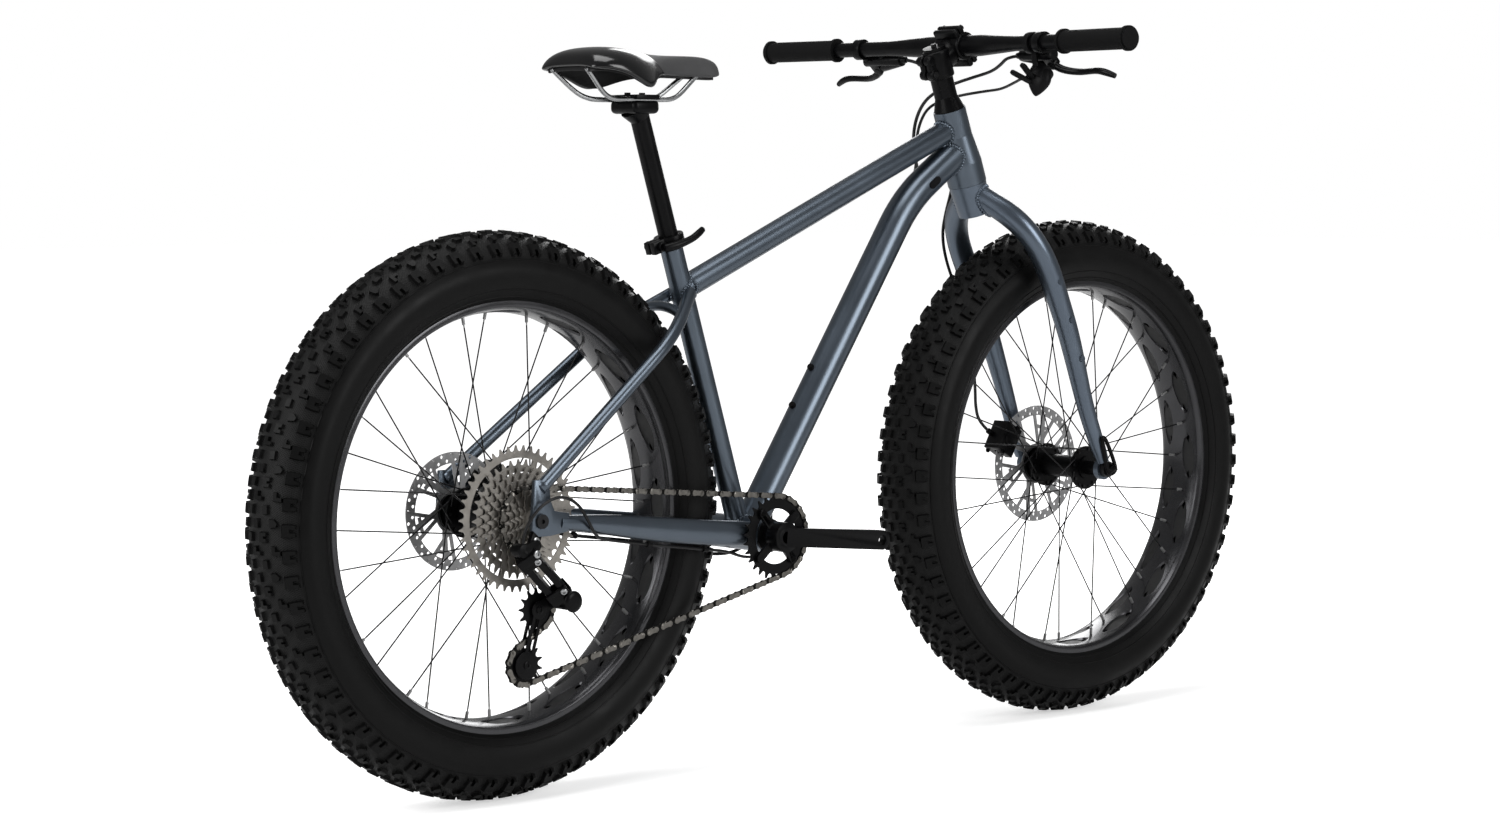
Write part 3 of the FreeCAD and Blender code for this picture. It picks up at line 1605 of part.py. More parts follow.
front_block.translate(stem_out * (faceplate_gap / 2))
pinch_centre = stem_mid - steer_fwd * (stem_radius + bolt_radius)
pinch_size = (bolt_head_radius * 4, pinch_half * 2, stem_height)
pinch_axes = (steer_fwd, left, steer_up)
pinch_ears = block(pinch_centre, pinch_axes, pinch_size)
pinch_slot = block(pinch_centre, pinch_axes, (bolt_head_radius * 6, faceplate_gap, stem_height + overrun))
bolt_shapes = []
bolt_holes = []
for rise in (1, -1):
    for side in (1, -1):
        spot = bar_centre + stem_rise_dir * (rise * clamp_bolt_rise) + left * (
            side * bar_clamp_half * clamp_bolt_share
        )
        face = spot + stem_out * (clamp_ear_depth / 2)
        back = spot - stem_out * (clamp_ear_depth / 2)
        bolt_shapes.append(
            fused(
                [
                    rod(back, face, bolt_radius),
                    rod(face, face + stem_out * bolt_head_height, bolt_head_radius),
                ]
            )
        )
        bolt_holes.append(rod(back, face, bolt_radius + seat_fit))
    spot = pinch_centre - steer_fwd * bolt_radius + steer_up * (rise * stem_height / 4)
    face = spot + left * (rise * pinch_half)
    back = spot - left * (rise * pinch_half)
    head_end = face + left * (rise * bolt_head_height)
    bolt_shapes.append(fused([rod(back, face, bolt_radius), rod(face, head_end, bolt_head_radius)]))
    bolt_holes.append(rod(back, face, bolt_radius + seat_fit))
bolt_shapes.append(rod(cap_end, cap_end + steer_up * bolt_head_height, bolt_head_radius))
stem_room = Part.makeCompound(bolt_holes)
stem = fused(
    [
        rod(stem_base, stem_top, stem_radius),
        pinch_ears,
        rod(stem_mid, bar_centre, stem_body_radius),
        clamp_shape,
    ]
)
stem = stem.cut(
    rod(stem_base - steer_up * overrun, stem_top + steer_up * overrun, spacer_bore)
).cut(pinch_slot)
stem = stem.cut(rear_cut).cut(bar_room).cut(stem_room)
add("stem", stem)
add("stem_faceplate", clamp_shape.common(front_block).cut(bar_room).cut(stem_room))
add("cockpit_bolts", bolt_shapes)

# Handlebar and grips
bar_shapes = [
    rod(bar_centre - left * bar_straight_half, bar_centre + left * bar_straight_half, bar_clamp_radius)
]
bar_bores = []
grip_shapes = []
for side in (1, -1):
    bend = bar_centre + left * (side * bar_straight_half)
    tip = bar_centre + left * (side * bar_width / 2) - V(bar_sweep, 0, 0)
    run = (tip - bend).normalize()
    taper = bend + run * (bar_taper_half - bar_straight_half)
    bar_shapes += [
        Part.makeSphere(bar_clamp_radius, bend),
        cone(bend, taper, bar_clamp_radius, bar_end_radius),
    ]
    bar_shapes.append(rod(taper, tip, bar_end_radius))
    bar_bores += [rod(bend, tip + run * overrun, bar_bore_radius), rod(bar_centre, bend, bar_bore_radius)]
    bar_bores.append(Part.makeSphere(bar_bore_radius, bend))
    grip_start = tip - run * grip_length
    flange_end = grip_start + run * grip_flange_width
    outer_flange = tip - run * grip_flange_width
    grip = fused([rod(grip_start, tip, grip_radius), rod(grip_start, flange_end, grip_flange_radius),
                  rod(outer_flange, tip, grip_flange_radius)])
    grip_shapes.append(
        grip.cut(rod(grip_start - run * overrun, tip + run * overrun, bar_end_radius + seat_fit))
    )
    plug = fused(
        [
            rod(tip, tip + run * plug_thickness, grip_radius),
            rod(tip - run * grip_flange_width, tip, bar_bore_radius - seat_fit),
        ]
    )
    grip_shapes.append(plug)
add("handlebar", fused(bar_shapes).cut(Part.makeCompound(bar_bores)))
add("grips", grip_shapes)


# Brake levers and shifter on the bar
def bar_place(place, side):
    share = (place - bar_straight_half) / (bar_width / 2 - bar_straight_half)
    bend = bar_centre + left * (side * bar_straight_half)
    tip = bar_centre + left * (side * bar_width / 2) - V(bar_sweep, 0, 0)
    return bend * (1 - share) + tip * share, (tip - bend).normalize()


control_slope = math.radians(control_tilt)
reach_dir = V(math.cos(control_slope), 0, -math.sin(control_slope))
lever_out_shares = (0.0, 0.12, 0.4, 0.75, 1.0)
lever_reach_shares = (0.0, 0.5, 1.0, 0.85, 1.3)
control_bore = bar_end_radius + seat_fit
lever_bodies = []
for side, name in ((1, "left_brake_lever"), (-1, "right_brake_lever")):
    seat, out = bar_place(control_place, side)
    lever_axis = reach_dir.cross(out).normalize()
    half_clamp = out * (control_width / 2)
    cylinder_start = seat + reach_dir * cylinder_offset + out * (control_width / 2)
    cylinder_end = cylinder_start - out * (cylinder_inboard + control_width / 2)
    pivot = seat - out * lever_pivot_inboard + reach_dir * lever_pivot_reach
    ear_root = seat - out * lever_pivot_inboard + reach_dir * cylinder_offset
    ear_low = lever_thickness / 2 + clear_gap / 2
    pin_half = lever_axis * (ear_low + ear_thickness)
    body_shapes = [
        rod(seat - half_clamp, seat + half_clamp, bar_end_radius + control_wall),
        rod(seat, seat + reach_dir * cylinder_offset, control_width / 2),
        rod(cylinder_start, cylinder_end, cylinder_radius),
        rod(cylinder_end, cylinder_end - out * hose_nut_length, hose_nut_radius),
        bar_plate(
            ear_root + lever_axis * ear_low,
            pivot + lever_axis * ear_low,
            ear_radius,
            lever_axis,
            ear_thickness,
        ),
        bar_plate(ear_root - pin_half, pivot - pin_half, ear_radius, lever_axis, ear_thickness),
        rod(pivot - pin_half, pivot + pin_half, lever_pin_radius),
    ]
    lever_bodies.append(
        fused(body_shapes).cut(rod(seat - half_clamp * 2, seat + half_clamp * 2, control_bore))
    )
    blade = []
    for index, share in enumerate(lever_out_shares):
        blade.append(
            pivot + out * (lever_length * share) + reach_dir * (lever_depth * lever_reach_shares[index])
        )
    thick = lever_axis * (lever_thickness / 2)
    arms = [
        bar_plate(start - thick, end - thick, lever_half, lever_axis, lever_thickness)
        for start, end in zip(blade, blade[1:])
    ]
    arms.append(rod(pivot - thick, pivot + thick, ear_radius - overrun / 2))
    add(name, fused(arms).cut(rod(pivot - thick * 2, pivot + thick * 2, lever_pin_radius + running_fit)))
add("brake_lever_bodies", lever_bodies)

pod_seat, pod_out = bar_place(shifter_place, -1)
pod_axis = V(math.sin(control_slope), 0, math.cos(control_slope))
pod_centre = pod_seat + V(shifter_forward, 0, -shifter_drop)
pod_half = pod_axis * (shifter_depth / 2)
pod_clamp = pod_out * shifter_clamp_half
pod_face = pod_centre - pod_half
pod_pin_end = pod_face - pod_axis * (shift_gap * 3 + shift_lever_thickness * 2)
pod = fused([
    rod(pod_centre - pod_half, pod_centre + pod_half, shifter_radius),
    rod(pod_seat - pod_clamp, pod_seat + pod_clamp, bar_end_radius + control_wall),
    rod(pod_seat, pod_centre - reach_dir * (shifter_radius / 2), hose_nut_radius),
    rod(pod_face, pod_pin_end, shift_pin_radius),
    rod(pod_pin_end, pod_pin_end - pod_axis * shift_pin_radius, shift_lever_width / 2),
])
add("shifter_body", pod.cut(rod(pod_seat - pod_clamp * 2, pod_seat + pod_clamp * 2, control_bore)))
shift_headings = (reach_dir * -1, (left - reach_dir).normalize())
for index, name in enumerate(("shift_lever_main", "shift_lever_release")):
    level = pod_face - pod_axis * ((shift_gap + shift_lever_thickness) * (index + 1))
    end = level + shift_headings[index] * shift_lever_length
    plate = bar_plate(level, end, shift_lever_width / 2, pod_axis, shift_lever_thickness)
    add(
        name,
        plate.cut(
            rod(
                level - pod_axis * shift_gap,
                level + pod_axis * (shift_lever_thickness + shift_gap),
                shift_pin_radius + running_fit,
            )
        ),
    )


# Brake calipers with their pads
def caliper(axle, place, radius, angle):
    radial = V(math.cos(math.radians(angle)), 0, math.sin(math.radians(angle)))
    tangent = V(-radial.z, 0, radial.x)
    axes = (tangent, left, radial)
    centre = axle + left * place + radial * (radius - caliper_set)
    body = block(centre, axes, (caliper_length, rotor_offset * 2, caliper_height))
    slot_top = caliper_set + caliper_room
    slot_low = caliper_height / 2 + overrun
    slot_centre = centre + radial * ((slot_top - slot_low) / 2)
    body = body.cut(block(slot_centre, axes, (caliper_length + overrun, caliper_slot, slot_top + slot_low)))
    pad_thickness = (caliper_slot - rotor_thickness) / 2 - pad_gap
    shapes = [body]
    for side in (1, -1):
        pad_side = left * (side * (caliper_slot - pad_thickness) / 2)
        shapes.append(
            block(centre + pad_side - radial * pad_gap, axes, (pad_length, pad_thickness, pad_height))
        )
    return shapes, centre, radial


rear_rotor_place = rear_hub_width / 2 - rotor_offset
front_rotor_place = front_hub_width / 2 - rotor_offset
rear_caliper, rear_caliper_centre, rear_radial = caliper(
    rear_axle,
    rear_rotor_place,
    rear_rotor_radius,
    rear_caliper_angle,
)
rear_tangent = V(-rear_radial.z, 0, rear_radial.x)
nut_side = left * (rotor_offset * caliper_nut_share)
rear_nut = rear_caliper_centre - rear_tangent * (caliper_length / 2) - nut_side
rear_caliper.append(rod(rear_nut, rear_nut - rear_tangent * hose_nut_length, hose_nut_radius))
add("rear_caliper", rear_caliper)
front_caliper, front_caliper_centre, front_radial = caliper(
    front_axle,
    front_rotor_place,
    front_rotor_radius,
    front_caliper_angle,
)
leg_spot = leg_between(front_caliper_leg_place, 1)[0]
arm_side = left * (rotor_offset - front_arm_radius)
front_arm = rod(
    front_caliper_centre + arm_side,
    leg_spot,
    front_arm_radius,
).cut(front_caliper[0]).cut(legs[0])
front_arm = max(front_arm.Solids, key=lambda solid: solid.Volume)
front_nut = front_caliper_centre + front_radial * (caliper_height / 2) + nut_side
front_caliper.append(rod(front_nut, front_nut + front_radial * hose_nut_length, hose_nut_radius))
add("front_caliper", front_caliper + [front_arm])

# Front through axle and its lever
right_side = front_axle - left * (front_hub_width / 2 + leg_foot_thickness)
left_side = front_axle + left * (front_hub_width / 2 + leg_foot_thickness)
cap_face = right_side - left * axle_cap_length
lever_slope = math.radians(axle_lever_tilt)
lever_up = V(math.sin(lever_slope), 0, math.cos(lever_slope))
lever_cross = lever_up.cross(left)
lever_pin = cap_face - left * axle_lever_thickness
ear_place = axle_lever_width / 2 + shift_gap
ear_axes = (lever_up, left, lever_cross)
ear_span = axle_lever_thickness * 3 / 2
axle_shapes = [rod(right_side, left_side, front_axle_radius), rod(cap_face, right_side, axle_cap_radius)]
for side in (1, -1):
    ear = cap_face - left * (ear_span / 2) + lever_cross * (side * (ear_place + ear_thickness / 2))
    axle_shapes.append(block(ear, ear_axes, (axle_lever_thickness * 3 / 2, ear_span, ear_thickness)))
pin_span = lever_cross * (ear_place + ear_thickness)
axle_shapes.append(rod(lever_pin - pin_span, lever_pin + pin_span, axle_pin_radius))
add("front_axle", fused(axle_shapes))
lever_face = lever_pin - left * (axle_lever_thickness / 2)
lever_root = lever_face + lever_up * overrun
lever_end = lever_face + lever_up * (axle_lever_length - axle_lever_width)
axle_lever = bar_plate(lever_root, lever_end, axle_lever_width / 2, left, axle_lever_thickness)
axle_lever = axle_lever.cut(rod(lever_pin - pin_span, lever_pin + pin_span, axle_pin_radius + running_fit))
add("front_axle_lever", axle_lever)

# Hoses and cable, each along its own route
rear_hose_route = [
    (329.3, -114.6, 998), (331.6, -92, 997), (345, -66, 987), (359, -34, 978), (366, 4, 972), (360, 40, 963),
    (343, 65, 951), (321, 71, 934), (303, 70, 907), (291, 63, 876), (281, 47, 849), (266, 27, 826),
    (238, 6, 806), (200, -8, 774),
    (-58, 9, 396), (-72, 10, 352), (-70, 12, 328), (-84, 17, 304), (-112, 24, 291), (-150, 38, 293),
    (-188, 54, 306), (-240, 67, 314.5), (-300, 74, 323), (-352, 80, 330.5), (-395, 82, 338), (-418, 75, 347),
    (-441, 71, 353), (-460, 72, 361), (-470, 73.5, 376.5), (-475.2, 74, 386),
]
shift_route = [
    (322, -146, 968), (334, -120, 966), (352, -86, 960), (368, -46, 952), (378, -4, 950), (371, 38, 945),
    (354, 62, 938), (335, 76, 926), (322, 80, 903), (312, 77, 877), (299, 63, 850),
    (274, 42, 827), (248, 26, 812), (222, 12, 786),
    (188, 9, 742), (-66, -9, 368), (-64, -11, 338), (-78, -17, 308), (-106, -26, 291), (-146, -41, 294),
    (-188, -55, 307), (-240, -67, 314.5), (-300, -74, 323), (-352, -80, 330.5), (-402, -86.5, 338.5),
    (-440, -93, 345), (-463, -104, 351), (-482, -112, 372), (-500, -113, 398), (-528, -113, 411),
    (-558, -113, 403), (-580, -112, 383), (-590, -110, 364), (-590, -109, 351.5),
]
front_hose_route = [
    (329.3, 114.6, 998), (332, 94, 995), (347, 78, 978), (361, 66, 950), (366, 57, 912), (368, 54, 870),
    (374, 58, 832), (380, 70, 800), (384, 86, 768), (390, 100, 734), (404, 105, 694), (428, 104, 645),
    (446, 102, 600), (455, 100, 564), (457, 97, 530), (454, 91, 498), (447, 83.5, 470), (446, 75.5, 448),
    (459.3, 69.2, 434),
]
rear_hose = cord("rear_brake_hose", [V(*place) for place in rear_hose_route], hose_radius)
shift_cord = cord("shift_cable", [V(*place) for place in shift_route], cable_radius)
front_hose = cord("front_brake_hose", [V(*place) for place in front_hose_route], hose_radius)
add("rear_brake_hose", rear_hose)
add("shift_cable", shift_cord)
add("front_brake_hose", front_hose)


# Down tube, opened where the hose and the cable pass its wall
def cord_room(route, radius):
    points = [V(*place) for place in route]

    def largest(before, here, after, half_turn):
        shorter = min((before - here).Length, (after - here).Length)
        return cord_bend_share * shorter / math.tan(half_turn)

    return swept(bent_path(points, largest), radius)


cord_rooms = [
    cord_room(rear_hose_route, hose_radius + clear_gap),
    cord_room(shift_route, cable_radius + clear_gap),
]
down_tube = down_solid.cut(head_solid).cut(seat_solid).cut(bb_solid).cut(top_solid)
down_tube = down_tube.cut(swept(down_path, down_tube_radius - down_tube_wall))
for room in cord_rooms:
    down_tube = down_tube.cut(room)
add("down_tube", max(down_tube.Solids, key=lambda solid: solid.Volume))

# Cable ports, bottle bosses and the clips under the chainstays
fittings = []
port_centre = down_corner + nose_dir * port_place
port_half = nose_dir * ((port_length - port_width) / 2)
for side in (1, -1):
    inner = port_centre + left * (side * (down_tube_radius - port_height))
    plate = bar_plate(
        inner - port_half,
        inner + port_half,
        port_width / 2,
        left * side,
        port_height + port_lip,
    )
    plate = plate.cut(down_solid)
    for room in cord_rooms:
        plate = plate.cut(room)
    fittings.append(plate)
down_normal = V(-down_dir.z, 0, down_dir.x)
for place in boss_places:
    root = down_start + down_dir * place
    top = root + down_normal * (down_tube_radius + boss_height)
    fittings.append(rod(root, top, boss_radius).cut(down_solid))
    fittings.append(rod(top, top + down_normal * boss_height, bolt_head_radius))
tight_rooms = [
    cord_room(rear_hose_route, hose_radius + seat_fit),
    cord_room(shift_route, cable_radius + seat_fit),
]
for route, room, radius in zip((rear_hose_route, shift_route), tight_rooms, (hose_radius, cable_radius)):
    places = [V(*place) for place in route]
    for index, spot in enumerate(places):
        if round(spot.x) not in clip_stations:
            continue
        along = (places[index + 1] - places[index - 1]).normalize() * (clip_width / 2)
        ring = rod(spot - along, spot + along, radius + clip_wall)
        foot = rod(spot, spot + V(0, 0, chainstay_half_height), clip_wall * 2)
        clip = fused([ring, foot]).cut(room).cut(Part.makeCompound(chainstays))
        fittings.append(min(clip.Solids, key=lambda solid: abs(solid.CenterOfMass.z - spot.z)))
add("frame_fittings", fittings)

os.makedirs("parts", exist_ok=True)
for name, shape in nodes.items():
    shape.exportStep("parts/" + name + ".step")
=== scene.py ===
import json
import math

import bmesh
import bpy
from mathutils import Matrix, Vector


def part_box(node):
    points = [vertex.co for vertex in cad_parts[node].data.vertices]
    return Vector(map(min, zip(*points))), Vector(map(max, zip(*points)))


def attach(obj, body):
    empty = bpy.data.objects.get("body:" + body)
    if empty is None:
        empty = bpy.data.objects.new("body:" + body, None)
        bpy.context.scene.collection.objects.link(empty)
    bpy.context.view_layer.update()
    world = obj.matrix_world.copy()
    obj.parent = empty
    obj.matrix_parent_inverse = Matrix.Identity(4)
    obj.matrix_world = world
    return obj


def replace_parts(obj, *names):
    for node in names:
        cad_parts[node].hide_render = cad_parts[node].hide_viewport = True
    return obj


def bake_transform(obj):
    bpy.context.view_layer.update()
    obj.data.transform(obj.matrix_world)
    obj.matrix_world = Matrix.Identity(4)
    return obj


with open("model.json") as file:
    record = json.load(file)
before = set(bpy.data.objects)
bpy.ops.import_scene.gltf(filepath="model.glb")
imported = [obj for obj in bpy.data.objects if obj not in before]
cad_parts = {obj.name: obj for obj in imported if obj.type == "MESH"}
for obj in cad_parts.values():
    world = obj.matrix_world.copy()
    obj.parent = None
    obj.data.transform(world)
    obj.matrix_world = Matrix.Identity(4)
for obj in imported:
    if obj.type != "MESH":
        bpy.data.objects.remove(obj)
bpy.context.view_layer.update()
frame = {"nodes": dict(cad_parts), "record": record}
nodes = frame["nodes"]
MM = 0.001
LEFT = Vector((0, 1, 0))

# Camera at the photograph's station, in metres and degrees, for an image of 1500 by 833
CAMERA_PLACE = Vector((-3.325, -3.572, 0.830))
CAMERA_YAW = 47.88
CAMERA_PITCH = -4.08
CAMERA_ROLL = 0.17
CAMERA_FOCUS_PIXELS = 3422.5
IMAGE_WIDTH = 1500
SENSOR_WIDTH = 36.0

# Wheels, read from the frame
WHEEL_CENTRES = {}
for end in ("front", "rear"):
    low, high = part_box(end + "_rim")
    WHEEL_CENTRES[end] = (low + high) / 2
TYRE_RADIUS = WHEEL_CENTRES["rear"].z
TYRE_HALF = 57 * MM
SECTION_CENTRE = TYRE_RADIUS - TYRE_HALF


# Meshes and objects
def publish(bm, name, material, body=None, smooth=40, second=None):
    bmesh.ops.remove_doubles(bm, verts=bm.verts, dist=1e-6)
    bmesh.ops.recalc_face_normals(bm, faces=bm.faces)
    mesh = bpy.data.meshes.new(name)
    bm.to_mesh(mesh)
    bm.free()
    return place_mesh(mesh, name, material, body, smooth, second)


def place_mesh(mesh, name, material, body=None, smooth=40, second=None):
    made = bpy.data.objects.new(name, mesh)
    bpy.context.scene.collection.objects.link(made)
    marks = [0] * len(mesh.polygons)
    mesh.polygons.foreach_get("material_index", marks)
    mesh.materials.clear()
    mesh.materials.append(material)
    if second:
        mesh.materials.append(second)
        mesh.polygons.foreach_set("material_index", marks)
    mesh.shade_smooth()
    mesh.set_sharp_from_angle(angle=math.radians(smooth))
    if body:
        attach(made, body)
    return made


def finished_mesh(piece):
    ready = piece.evaluated_get(bpy.context.evaluated_depsgraph_get())
    return bpy.data.meshes.new_from_object(ready)


def spline_mesh(points, kind, closed=False, radius=0.0, swell=None):
    line = bpy.data.curves.new("route", "CURVE")
    line.dimensions = "3D"
    line.resolution_u = 8
    line.bevel_depth = radius
    line.bevel_resolution = 2
    line.use_fill_caps = True
    spline = line.splines.new(kind)
    spline.points.add(len(points) - 1)
    for spot, place, size in zip(spline.points, points, swell or [1.0] * len(points)):
        spot.co = (*place, 1.0)
        spot.radius = size
    spline.order_u = 3
    spline.use_endpoint_u = not closed
    spline.use_cyclic_u = closed
    holder = bpy.data.objects.new("route", line)
    mesh = bpy.data.meshes.new_from_object(holder)
    bpy.data.objects.remove(holder)
    bpy.data.curves.remove(line)
    return mesh


def new_corners(result):
    return [g for g in result["geom"] if isinstance(g, bmesh.types.BMVert)]


def raise_face(bm, face, keep=True):
    return new_corners(bmesh.ops.extrude_face_region(bm, geom=[face], use_keep_orig=keep))


def break_edges(bm, geom, width, segments=4, affect="EDGES", clamp=False):
    bmesh.ops.bevel(
        bm, geom=list(geom), offset=width * MM, affect=affect, segments=segments, profile=0.5, material=-1,
        clamp_overlap=clamp)


def spin_round(bm, geom, centre, axis, steps):
    bmesh.ops.spin(
        bm, geom=geom, cent=centre, axis=axis, dvec=(0, 0, 0), angle=2 * math.pi, steps=steps, use_merge=True)


def copy_round(bm, verts, centre, copies):
    """Copies of what hangs on verts, evenly round a wheel."""
    hung = list({g for v in verts for g in (*v.link_edges, *v.link_faces)})
    bmesh.ops.spin(
        bm, geom=verts + hung, cent=centre, axis=LEFT, dvec=(0, 0, 0), use_duplicate=True,
        angle=2 * math.pi * (copies - 1) / copies, steps=copies - 1)


# Colours and nodes
def linear(code):
    parts = [int(code[start:start + 2], 16) / 255 for start in (0, 2, 4)]
    return [p / 12.92 if p <= 0.04045 else ((p + 0.055) / 1.055) ** 2.4 for p in parts] + [1.0]


def per_mm(size):
    return 1 / (size * MM)


def add(tree, kind, values=None):
    made = tree.nodes.new(kind)
    for name, value in (values or {}).items():
        if isinstance(name, str) and name.islower():
            setattr(made, name, value)
        elif isinstance(value, bpy.types.NodeSocket):
            tree.links.new(value, made.inputs[name])
        else:
            made.inputs[name].default_value = value
    return made


def clear_tree(owner):
    owner.use_nodes = True
    owner.node_tree.nodes.clear()
    return owner.node_tree


def maths(tree, operation, *values):
    return add(tree, "ShaderNodeMath", {"operation": operation, **dict(enumerate(values))}).outputs[0]


def mixed(tree, share, low, high):
    return add(tree, "ShaderNodeMix", {"data_type": "RGBA", 0: share, 6: low, 7: high}).outputs[2]


def ramp(tree, value, start, end, low=0.0, high=1.0):
    return add(tree, "ShaderNodeMapRange", {
        "Value": value, "From Min": start, "From Max": end, "To Min": low, "To Max": high}).outputs[0]


def noise(tree, place, size, detail):
    return add(tree, "ShaderNodeTexNoise", {"Vector": place, "Scale": per_mm(size), "Detail": detail}).outputs["Fac"]


def bump(tree, height, depth, strength, under=None):
    """A bump of depth mm, on top of another one where it is given."""
    below = {"Normal": under} if under else {}
    values = {"Height": height, "Distance": depth * MM, "Strength": strength, **below}
    return add(tree, "ShaderNodeBump", values).outputs[0]


def blank(name):
    material = bpy.data.materials.new(name)
    tree = clear_tree(material)
    shader = add(tree, "ShaderNodeBsdfPrincipled")
    add(tree, "ShaderNodeOutputMaterial", {"Surface": shader.outputs["BSDF"]})
    place = add(tree, "ShaderNodeTexCoord").outputs["Object"]
    return material, tree, shader, place


def dress(tree, shader, tone, gloss, relief):
    for name, socket in (("Base Color", tone), ("Roughness", gloss), ("Normal", relief)):
        tree.links.new(socket, shader.inputs[name])


def surface(name, dark, pale, rough, blotch, grain, depth, settings):
    """Colour and gloss that drift over blotch mm, with a bump of grain mm and depth mm."""
    material, tree, shader, place = blank(name)
    drift = noise(tree, place, blotch, detail=5.0)
    tone = mixed(tree, drift, linear(dark), linear(pale))
    relief = bump(tree, noise(tree, place, grain, detail=2.0), depth, strength=1.0)
    dress(tree, shader, tone, ramp(tree, drift, *DRIFT_RANGE, *rough), relief)
    for key, value in settings.items():
        shader.inputs[key].default_value = value
    return material


# The middle part of a noise's values, where most of them lie
DRIFT_RANGE = (0.3, 0.7)

# Satin metallic paint on aluminium: fine flake under a thin clear coat
FRAME_PAINT = surface("satin_metallic_paint_frame", "4c545d", "59626c", (0.29, 0.34), 70, 3.0, 0.004, {
    "Metallic": 0.9, "Coat Weight": 0.15, "Coat Roughness": 0.2})
FORK_PAINT = surface("satin_metallic_paint_fork", "525b66", "606a76", (0.30, 0.35), 70, 3.0, 0.004, {
    "Metallic": 0.9, "Coat Weight": 0.15, "Coat Roughness": 0.22})
# Black anodised aluminium: blasted before anodising, so a soft even sheen
BLACK_ALLOY = surface("black_anodised_aluminium", "050506", "0a0a0b", (0.26, 0.36), 25, 0.5, 0.01, {
    "Specular IOR Level": 0.1})
# Black powder coat on the rims: satin, with a slight orange peel
RIM_BLACK = surface("black_powder_coated_rim", "3a3a3c", "48484a", (0.18, 0.26), 40, 1.2, 0.012, {
    "Metallic": 0.8})
# Woven nylon strip behind the rim windows
RIM_STRIP = surface("woven_nylon_rim_strip", "080809", "0f0f10", (0.5, 0.65), 12, 0.8, 0.05, {})
# Moulded nylon: fine spark-eroded texture
BLACK_PLASTIC = surface("moulded_black_nylon", "060607", "0c0c0d", (0.4, 0.54), 15, 0.45, 0.02, {
    "Specular IOR Level": 0.1})
# Drawn spokes, black oxidised
SPOKE_STEEL = surface("black_oxide_spoke_wire", "0f0f10", "1a1a1c", (0.3, 0.42), 20, 0.4, 0.006, {"Metallic": 0.6})


# Black oxidised spokes whose nipples, near the rim, are bright nickel
def spoke_wire(name, centre):
    material = SPOKE_STEEL.copy()
    material.name = name
    tree = material.node_tree
    shader = next(n for n in tree.nodes if n.type == "BSDF_PRINCIPLED")
    place = add(tree, "ShaderNodeTexCoord").outputs["Object"]
    local = add(tree, "ShaderNodeMapping", {"Vector": place, "Location": [-c for c in centre]})
    away = add(tree, "ShaderNodeVectorMath", {"operation": "LENGTH", 0: local.outputs[0]})
    tip = maths(tree, "GREATER_THAN", away.outputs["Value"], NIPPLE_START)
    dark = shader.inputs["Base Color"].links[0].from_socket
    tree.links.new(mixed(tree, tip, dark, linear("8e8e8e")), shader.inputs["Base Color"])
    return material


# Nipples start this far from the wheel's centre
NIPPLE_START = 256.5 * MM
FRONT_SPOKES, REAR_SPOKES = [spoke_wire(end + "_spoke_wire", WHEEL_CENTRES[end]) for end in ("front", "rear")]
# Stainless brake disc, ground on both faces
ROTOR_STEEL = surface("ground_stainless_disc", "8c8c8d", "b0b0b1", (0.3, 0.42), 9, 0.5, 0.012, {"Metallic": 0.7})
# Stamped steel cogs with satin nickel plating, a little warm
COG_NICKEL = surface("nickel_plated_steel_cogs", "7d7974", "9f9b95", (0.28, 0.4), 14, 0.5, 0.008, {"Metallic": 0.85})
# Plated chain steel, and a darker tone of it for the inner plates and rollers
CHAIN_STEEL = surface("plated_chain_steel", "4f4d49", "7d7a75", (0.26, 0.4), 7, 0.4, 0.008, {"Metallic": 0.95})
CHAIN_INNER = surface("dark_inner_chain_steel", "0c0c0b", "191816", (0.3, 0.44), 7, 0.4, 0.008, {"Metallic": 0.9})
# Phosphated steel of axles, bearings and bolts
DARK_STEEL = surface("phosphated_steel", "1b1b1c", "2b2b2c", (0.34, 0.46), 12, 0.4, 0.01, {"Metallic": 0.8})
# Drawn saddle rails, bright
RAIL_STEEL = surface("drawn_rail_steel", "8d8e8f", "adaeaf", (0.22, 0.3), 12, 0.4, 0.006, {"Metallic": 1.0})
# Zinc plated bolts: pale and softly mirrored
ZINC_STEEL = surface("zinc_plated_steel", "8a8b8c", "a9aaab", (0.24, 0.34), 6, 0.4, 0.006, {"Metallic": 1.0})
# Moulded grip rubber: matte, faintly dusty
GRIP_RUBBER = surface("moulded_grip_rubber", "070707", "0d0d0e", (0.6, 0.72), 18, 0.9, 0.06, {
    "Specular IOR Level": 0.1})
# Extruded hose jacket: smooth with a soft sheen
HOSE_JACKET = surface("extruded_hose_jacket", "070708", "0e0e0f", (0.34, 0.46), 15, 0.6, 0.015, {
    "Specular IOR Level": 0.25})
# Lacquered saddle base
SADDLE_GLOSS = surface("lacquered_saddle_base", "060607", "0d0d0e", (0.45, 0.55), 40, 1.4, 0.012, {
    "Specular IOR Level": 0.25})


